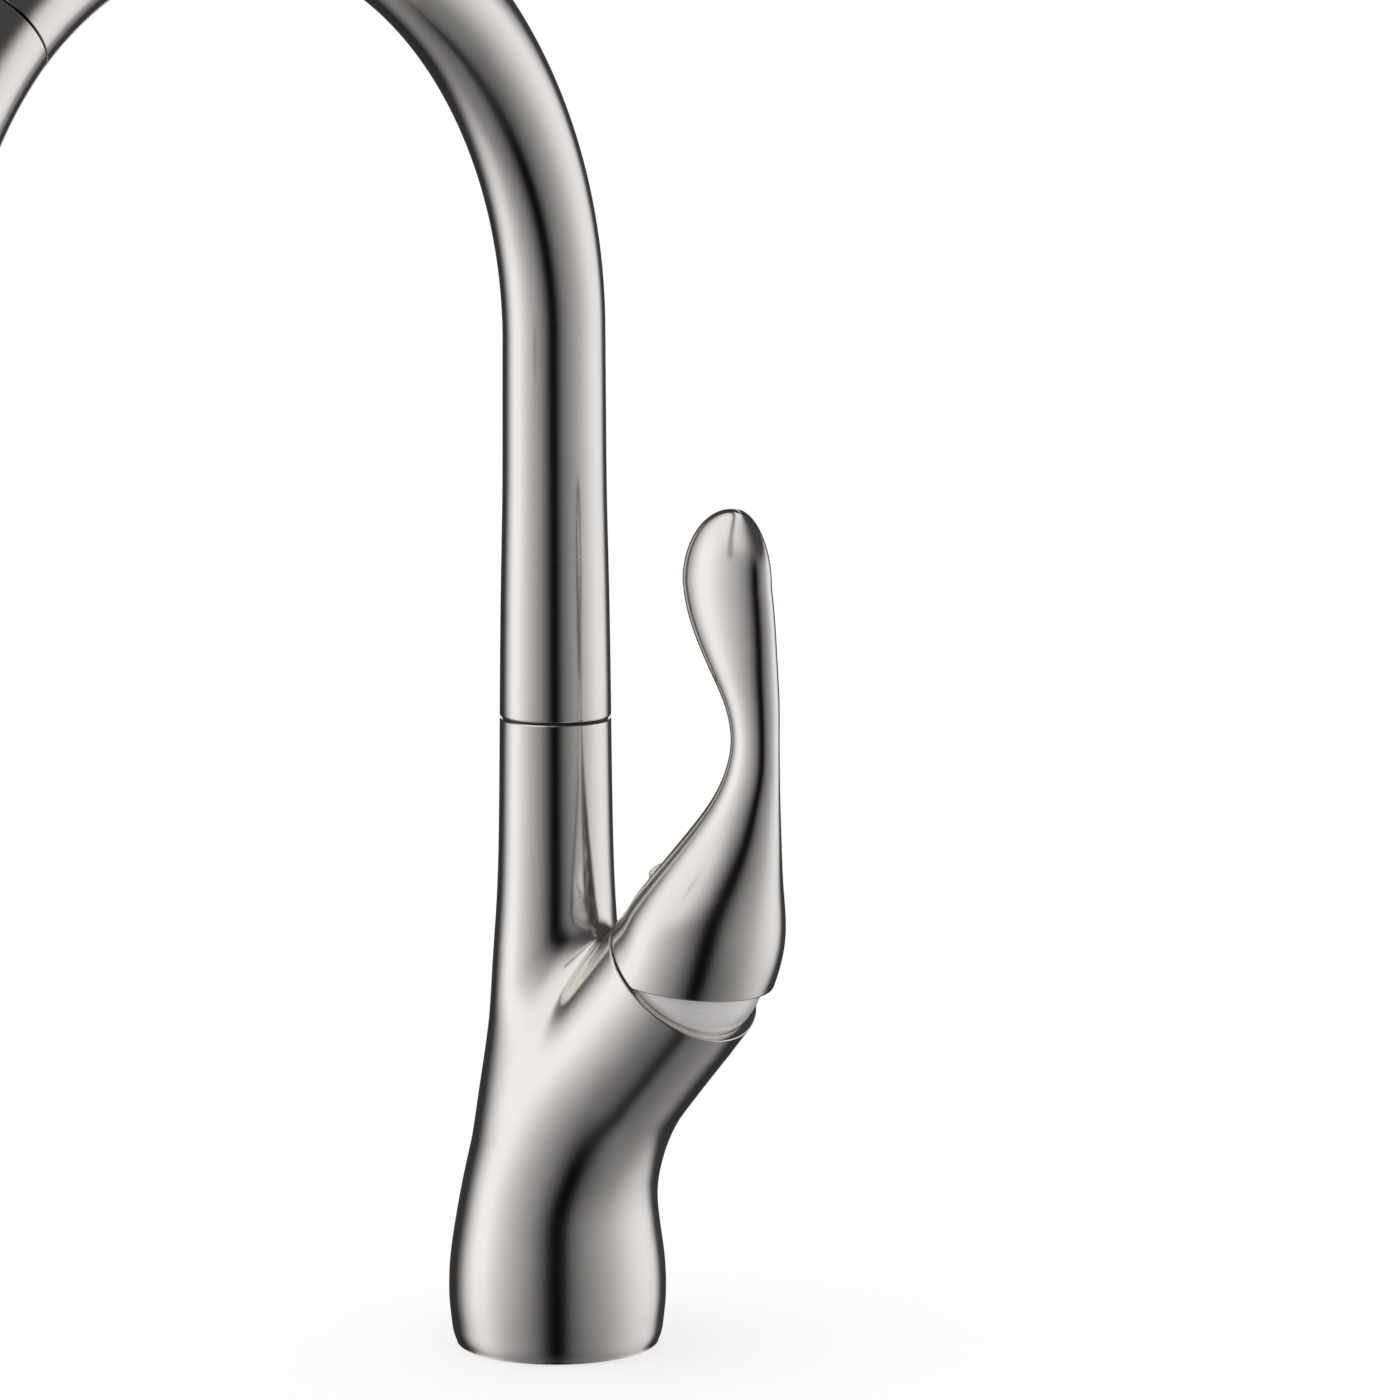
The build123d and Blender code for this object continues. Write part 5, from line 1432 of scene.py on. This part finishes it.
@dataclass
class SprayHead:
    """Pull-down spray head: it follows the arch, then runs straight and flares to its mouth.

    Args:
        spout: The tube that it docks in.
        bend_end: Turn from vertical where it becomes straight, in degrees.
        straight: Length of the straight run.
        waist_radius: Radius where the straight run starts.
        mouth_radius: Radius at the mouth.
        wall: Thickness of the shell.
        gap: Width of the joint line between the tube and the shell.
        lip: Rounding of its upper edge.
        mouth_edge: Rounding of the mouth's edge.
        mouth_draw: Share of that rounding by which the mouth narrows.
        mouth_recess: Distance of the inner wall's end from the end of the straight run.
        rocker_station: Place of the rocker along the straight run.
        rocker_depth: Depth of its pocket below the shell's surface.
        pocket_width: Width of the pocket.
        pocket_length: Length of the pocket.
    """

    spout: Gooseneck
    bend_end: float = 160.0
    straight: float = 58.0 * MM
    waist_radius: float = 16.3 * MM
    mouth_radius: float = 19.0 * MM
    wall: float = 2.0 * MM
    gap: float = 0.35 * MM
    lip: float = 0.2 * MM
    mouth_edge: float = 2.0 * MM
    mouth_draw: float = 0.8
    mouth_recess: float = 0.8 * MM
    rocker_station: float = 24.0 * MM
    rocker_depth: float = 4.7 * MM
    pocket_width: float = 11.7 * MM
    pocket_length: float = 27.8 * MM

    @property
    def turn(self) -> float:
        """Turn of the straight run, in radians."""
        return math.radians(self.bend_end)

    @property
    def along(self) -> Vector:
        """Direction of the straight run, toward the mouth."""
        return self.spout.heading(self.turn)

    @property
    def upward(self) -> Vector:
        """Direction out of the head's front, square to the straight run."""
        return Vector((0.0, math.cos(self.turn), math.sin(self.turn)))

    def on_axis(self, station: float) -> Vector:
        """Point of the straight run's axis."""
        return self.spout.at(self.bend_end) + self.along * station

    def skin(self, inset: float, length: float) -> list[Ring]:
        """Rings of the head's form, from its upper edge along the straight run.

        Args:
            inset: Depth below the outer surface.
            length: Length of the straight run that they cover.

        Returns:
            The rings in order.
        """
        rings = []
        start = self.spout.seam_angle + math.degrees(self.gap / self.spout.arch_radius)
        first = self.spout.end_radius
        for angle in np.linspace(start, self.bend_end, 28):
            share = (angle - start) / (self.bend_end - start)
            radius = first + (self.waist_radius - first) * share - inset
            rings.append(Ring(self.spout.at(angle), math.radians(angle), radius, radius))
        for station in np.linspace(0.0, length, 30)[1:]:
            share = station / self.straight
            radius = self.waist_radius + (self.mouth_radius - self.waist_radius) * share - inset
            rings.append(Ring(self.on_axis(station), self.turn, radius, radius))
        return rings

    def pocket(self) -> bpy.types.Object:
        """Models the solid of the rocker's slot-shaped pocket.

        Returns:
            The solid to cut away.
        """
        share = self.rocker_station / self.straight
        outer = self.waist_radius + (self.mouth_radius - self.waist_radius) * share
        centre = self.on_axis(self.rocker_station) + self.upward * (outer - self.rocker_depth)
        half = self.pocket_width / 2
        turn = self.turn - math.pi / 2
        low = Ring(centre, turn, half, half)
        high = Ring(centre + self.upward * self.mouth_radius, turn, half, half)
        piece = tube("rocker_pocket", [low, high], TurnAxis.X, 64, close_end=True)
        stretch, slack = (self.pocket_length - self.pocket_width) / 2, 0.001 * MM
        with editing(piece):
            for side in (1, -1):
                skin = bmesh.from_edit_mesh(piece.data)
                select_where(
                    piece, [(v.co - centre).dot(self.along) * side > slack for v in skin.verts]
                )
                bpy.ops.transform.translate(value=self.along * stretch * side)
            bpy.ops.mesh.select_all(action="DESELECT")
            bpy.ops.mesh.select_non_manifold()
            bpy.ops.mesh.edge_face_add()
            bpy.ops.mesh.select_all(action="SELECT")
            bpy.ops.mesh.normals_make_consistent(inside=False)
        return piece

    def build(self) -> bpy.types.Object:
        """Models the head's shell with its edges, its inner wall and the rocker's pocket.

        Returns:
            The shell.
        """
        outer = self.skin(0.0, self.straight - self.mouth_edge)
        first = outer[0]
        rings = [
            Ring(first.centre, first.turn, first.half_x - self.lip, first.half_y - self.lip),
            Ring(
                first.centre + self.spout.heading(first.turn) * self.lip,
                first.turn, first.half_x, first.half_y,
            ),
        ]
        rings += outer[1:]
        last = outer[-1]
        for step in range(1, 7):
            turn = math.radians(90 * step / 6)
            radius = last.half_x - self.mouth_edge * (1 - math.cos(turn)) * self.mouth_draw
            centre = last.centre + self.along * self.mouth_edge * math.sin(turn)
            rings.append(Ring(centre, self.turn, radius, radius))
        rings += list(reversed(self.skin(self.wall, self.straight - self.mouth_recess)))
        rings.append(rings[0])
        piece = tube("spray_head_skin", rings)
        with editing(piece):
            bpy.ops.mesh.select_all(action="SELECT")
            bpy.ops.mesh.remove_doubles(threshold=MERGE_DISTANCE)
            bpy.ops.mesh.normals_make_consistent(inside=False)
        cut_away(piece, self.pocket())
        finish_mesh(piece)
        return piece


# --------------------------------------------------------------------------------- studio


@dataclass
class Studio:
    """Floor, light tent and camera.

    Args:
        azimuth: Side of the camera, in degrees: 0 looks along +Y.
        elevation: Height of the camera's view, in degrees.
        distance: From the aim to the camera.
        aim: Point that the camera looks at.
        lens: Focal length in millimetres.
        sensor: Width of the camera's sensor in millimetres.
        floor_radius: Radius of the round deck.
        floor_drop: How far the deck lies below the object's foot.
        floor_colour: sRGB hex of the deck.
        floor_glow: Light of the deck's own white.
        floor_share: Share of that white in the deck, the rest taking the object's shadow.
        tent_radius: Radius of the tent around the object.
        tent_height: Height of the tent's middle.
        brightness: Light of the tent's white cloth.
        fade: How fast the tent's sides darken below the horizon.
        high_step: Rise where the high panels start and where they are alone, of the tent's radius.
        low_step: The same for the light that comes from below.
        panels: Angle from the camera's side, in degrees, and level of the tent's cloth there.
        high_panels: The same well above the horizon.
        low_panels: The same for the light that comes from below.
    """

    azimuth: float = 41.16
    elevation: float = 8.46
    distance: float = 1.4324
    aim: Vector = field(default_factory=lambda: Vector((28.1, 24.7, 169.8)) * MM)
    lens: float = 142.33
    sensor: float = 36.0
    floor_radius: float = 1.4
    floor_drop: float = 0.2 * MM
    floor_colour: str = "#FAFAFA"
    floor_glow: float = 1.15
    floor_share: float = 0.55
    tent_radius: float = 2.6
    tent_height: float = 0.2
    brightness: float = 1.17
    fade: float = 1.6
    high_step: tuple[float, float] = (0.09, 0.4)
    low_step: tuple[float, float] = (-0.64, -0.94)
    panels: Sequence[tuple[float, float]] = (
        (-180, 0.9), (-172, 0.04), (-134, 0.03), (-124, 0.2), (-112, 0.65), (-98, 1.02),
        (-84, 1.02), (-64, 0.68), (-48, 0.47), (-32, 0.3), (-18, 0.13), (-9, 0.02), (-4, 0.002),
        (4, 0.002), (9, 0.02), (17, 0.12), (28, 0.22), (45, 0.34), (62, 0.48), (80, 0.7),
        (95, 0.85), (110, 0.92), (126, 0.82), (134, 0.4), (141, 0.04), (172, 0.04), (180, 0.9),
    )
    high_panels: Sequence[tuple[float, float]] = (
        (-180, 0.9), (-172, 0.04), (-134, 0.03), (-124, 0.3), (-112, 0.75), (-98, 0.95),
        (-50, 0.85), (-25, 0.5), (-8, 0.2), (8, 0.1), (25, 0.06), (172, 0.04), (180, 0.9),
    )
    low_panels: Sequence[tuple[float, float]] = (
        (-180, 0.38), (-50, 0.3), (-28, 0.2), (-12, 0.07), (0, 0.03), (12, 0.07), (28, 0.2),
        (50, 0.3), (180, 0.38),
    )

    def camera(self) -> None:
        """Sets the camera."""
        side, up = math.radians(self.azimuth), math.radians(self.elevation)
        away = Vector(
            (math.sin(side) * math.cos(up), -math.cos(side) * math.cos(up), math.sin(up))
        )
        bpy.ops.object.camera_add(location=self.aim + away * self.distance)
        camera = bpy.context.object
        camera.rotation_euler = away.to_track_quat("Z", "Y").to_euler()
        camera.data.lens = self.lens
        camera.data.sensor_width = self.sensor
        bpy.context.scene.camera = camera

    @staticmethod
    def bare_material(piece: bpy.types.Object) -> bpy.types.NodeTree:
        """Gives a piece a material of its own name, still without nodes.

        Args:
            piece: The piece of the studio.

        Returns:
            The material's node tree.
        """
        material = bpy.data.materials.new(piece.name)
        material.use_nodes = True
        material.node_tree.nodes.clear()
        piece.data.materials.append(material)
        return material.node_tree

    def floor(self) -> None:
        """Pale deck that keeps the object's shadow."""
        bpy.ops.object.select_all(action="DESELECT")
        bpy.ops.mesh.primitive_circle_add(
            vertices=96, radius=self.floor_radius, fill_type="NGON",
            location=(0, 0, -self.floor_drop),
        )
        floor = bpy.context.object
        floor.name = "studio_floor"
        tree = self.bare_material(floor)
        matt = add_node(tree, "ShaderNodeBsdfDiffuse", Color=srgb(self.floor_colour))
        glow = add_node(
            tree, "ShaderNodeEmission", Color=(1, 1, 1, 1), Strength=self.floor_glow
        )
        rays = add_node(tree, "ShaderNodeLightPath")
        share = self.calculate(
            tree, "MULTIPLY", rays.outputs["Is Camera Ray"], self.floor_share
        )
        shown = add_node(
            tree, "ShaderNodeMixShader",
            {"Fac": share, 1: matt.outputs["BSDF"], 2: glow.outputs["Emission"]},
        )
        add_node(tree, "ShaderNodeOutputMaterial", {"Surface": shown.outputs["Shader"]})
        floor.visible_glossy = False

    @staticmethod
    def calculate(
        tree: bpy.types.NodeTree, operation: str, *values: bpy.types.NodeSocket | float
    ) -> bpy.types.NodeSocket:
        """Adds one calculation.

        Args:
            tree: The node tree.
            operation: Blender's name of the operation.
            *values: Sockets or numbers that it works on.

        Returns:
            Socket of the result.
        """
        node = add_node(tree, "ShaderNodeMath", operation=operation)
        for entry, value in zip(node.inputs, values):
            if isinstance(value, bpy.types.NodeSocket):
                tree.links.new(value, entry)
            else:
                entry.default_value = value
        return node.outputs["Value"]

    @staticmethod
    def mixed(
        tree: bpy.types.NodeTree, first: bpy.types.NodeSocket, second: bpy.types.NodeSocket,
        share: bpy.types.NodeSocket,
    ) -> bpy.types.NodeSocket:
        """Adds a mix of two colours.

        Args:
            tree: The node tree.
            first: Socket of the first colour.
            second: Socket of the second colour.
            share: Socket of the second colour's share.

        Returns:
            Socket of the mixed colour.
        """
        node = add_node(
            tree, "ShaderNodeMix", {"Factor": share, 6: first, 7: second}, data_type="RGBA"
        )
        return node.outputs[2]

    @staticmethod
    def step(
        tree: bpy.types.NodeTree, value: bpy.types.NodeSocket, ends: tuple[float, float]
    ) -> bpy.types.NodeSocket:
        """Adds a smooth step.

        Args:
            tree: The node tree.
            value: Socket of the value.
            ends: Values where the step is 0 and where it is 1.

        Returns:
            Socket of the step, from 0 to 1.
        """
        node = add_node(
            tree, "ShaderNodeMapRange", {"Value": value}, interpolation_type="SMOOTHSTEP",
            From_Min=ends[0], From_Max=ends[1], To_Min=0.0, To_Max=1.0,
        )
        return node.outputs["Result"]

    @staticmethod
    def scaled(
        tree: bpy.types.NodeTree, colour: bpy.types.NodeSocket, factor: bpy.types.NodeSocket
    ) -> bpy.types.NodeSocket:
        """Adds a colour times a factor.

        Args:
            tree: The node tree.
            colour: Socket of the colour.
            factor: Socket of the factor.

        Returns:
            Socket of the scaled colour.
        """
        node = add_node(
            tree, "ShaderNodeVectorMath", {0: colour, "Scale": factor}, operation="SCALE"
        )
        return node.outputs["Vector"]

    @staticmethod
    def ramp(
        tree: bpy.types.NodeTree, turn: bpy.types.NodeSocket,
        panels: Sequence[tuple[float, float]],
    ) -> bpy.types.NodeSocket:
        """Adds a ramp of grey levels around the tent.

        Args:
            tree: The node tree.
            turn: Socket of the turn, from 0 to 1.
            panels: Pairs of angle in degrees, from -180 to 180, and level.

        Returns:
            The socket of the level.
        """
        node = add_node(tree, "ShaderNodeValToRGB", {"Fac": turn})
        stops = node.color_ramp.elements
        while len(stops) > 1:
            stops.remove(stops[-1])
        stops[0].position = 0.0
        stops[0].color = (panels[0][1],) * 3 + (1.0,)
        for angle, level in panels[1:]:
            stop = stops.new((angle + 180.0) / 360.0)
            stop.color = (level,) * 3 + (1.0,)
        return node.outputs["Color"]

    def tent(self) -> None:
        """Round tent of white cloth with dark flags, seen only in the metal."""
        bpy.ops.object.select_all(action="DESELECT")
        bpy.ops.mesh.primitive_uv_sphere_add(
            segments=96, ring_count=48, radius=self.tent_radius,
            location=(0, 0, self.tent_height),
        )
        tent = bpy.context.object
        tent.name = "light_tent"
        tree = self.bare_material(tent)
        spots = Finish.spots(tree)
        turned = add_node(
            tree, "ShaderNodeMapping", {"Vector": spots},
            Rotation=(0, 0, math.radians(90 - self.azimuth)),
        )
        gradient = add_node(
            tree, "ShaderNodeTexGradient", {"Vector": turned.outputs["Vector"]},
            gradient_type="RADIAL",
        )
        around = gradient.outputs["Fac"]
        split = add_node(tree, "ShaderNodeSeparateXYZ", {"Vector": spots})
        rise = self.calculate(tree, "DIVIDE", split.outputs["Z"], self.tent_radius)
        # Cosine of the height angle below the horizon, and 1 above it
        sunk = self.calculate(tree, "POWER", self.calculate(tree, "MINIMUM", rise, 0.0), 2.0)
        level = self.calculate(tree, "SQRT", self.calculate(tree, "SUBTRACT", 1.0, sunk))
        sides = self.scaled(
            tree, self.ramp(tree, around, self.panels),
            self.calculate(tree, "POWER", level, self.fade),
        )
        bounce = self.scaled(
            tree, self.ramp(tree, around, self.low_panels), self.calculate(tree, "SQRT", level)
        )
        high = self.ramp(tree, around, self.high_panels)
        walls = self.mixed(tree, sides, high, self.step(tree, rise, self.high_step))
        seen = self.mixed(tree, walls, bounce, self.step(tree, rise, self.low_step))
        glow = add_node(tree, "ShaderNodeEmission", {"Color": seen}, Strength=self.brightness)
        # Matt pieces and the floor are lit by white cloth all round
        even = add_node(tree, "ShaderNodeEmission", Color=(1, 1, 1, 1), Strength=1.0)
        rays = add_node(tree, "ShaderNodeLightPath")
        shown = add_node(
            tree, "ShaderNodeMixShader",
            {"Fac": rays.outputs["Is Diffuse Ray"], 1: glow.outputs["Emission"],
             2: even.outputs["Emission"]},
        )
        add_node(tree, "ShaderNodeOutputMaterial", {"Surface": shown.outputs["Shader"]})
        tent.visible_camera = False
        tent.visible_shadow = False

    def world(self) -> None:
        """White surroundings."""
        world = bpy.data.worlds.new("studio")
        bpy.context.scene.world = world
        world.use_nodes = True
        shade = world.node_tree.nodes["Background"]
        shade.inputs["Color"].default_value = (1, 1, 1, 1)
        shade.inputs["Strength"].default_value = 1.0

    def build(self) -> None:
        """Sets up the whole studio."""
        self.camera()
        self.floor()
        self.tent()
        self.world()
        bpy.context.scene.view_settings.view_transform = "Standard"


@dataclass
class Faucet:
    """The whole faucet: new skins over the frame, and finishes on its own nodes.

    Args:
        branch: Centre line of the body's branch and of the lever on it.
        own_finish: Finishes of nodes that don't wear their slot's own.
    """

    branch: BranchLine = field(default_factory=BranchLine)
    # The dome ring wears the nickel plate with a painted sheen.
    own_finish: dict[str, Finish] = field(default_factory=lambda: {"dome_ring": NICKEL_DOME_PAINTED_SHEEN})

    def dress_frame(self) -> None:
        """Gives every CAD node the finish of its slot."""
        for part in frame["record"]["subparts"]:
            node = frame["nodes"][part["node"]]
            dress(node, self.own_finish.get(part["node"], SLOT_FINISH[part["material_slot"]]))

    def build(self) -> None:
        """Builds the pieces in order."""
        self.dress_frame()
        place(BodyCasting(self.branch).build(), "root", "brushed_nickel", ["body"])
        spout = Gooseneck()
        place(spout.build(), "spout", "brushed_nickel", ["spout_tube"])
        place(LeverHandle(self.branch).build(), "lever", "brushed_nickel", ["handle"])
        place(SprayHead(spout).build(), "spray_head", "brushed_nickel", ["spray_head_shell"])
        Hose(spout).build()


def main() -> None:
    """Builds the studio and the faucet."""
    logging.basicConfig(level=logging.INFO, format="%(name)s: %(message)s")
    Studio().build()
    Faucet().build()


if __name__ == "__main__":
    main()
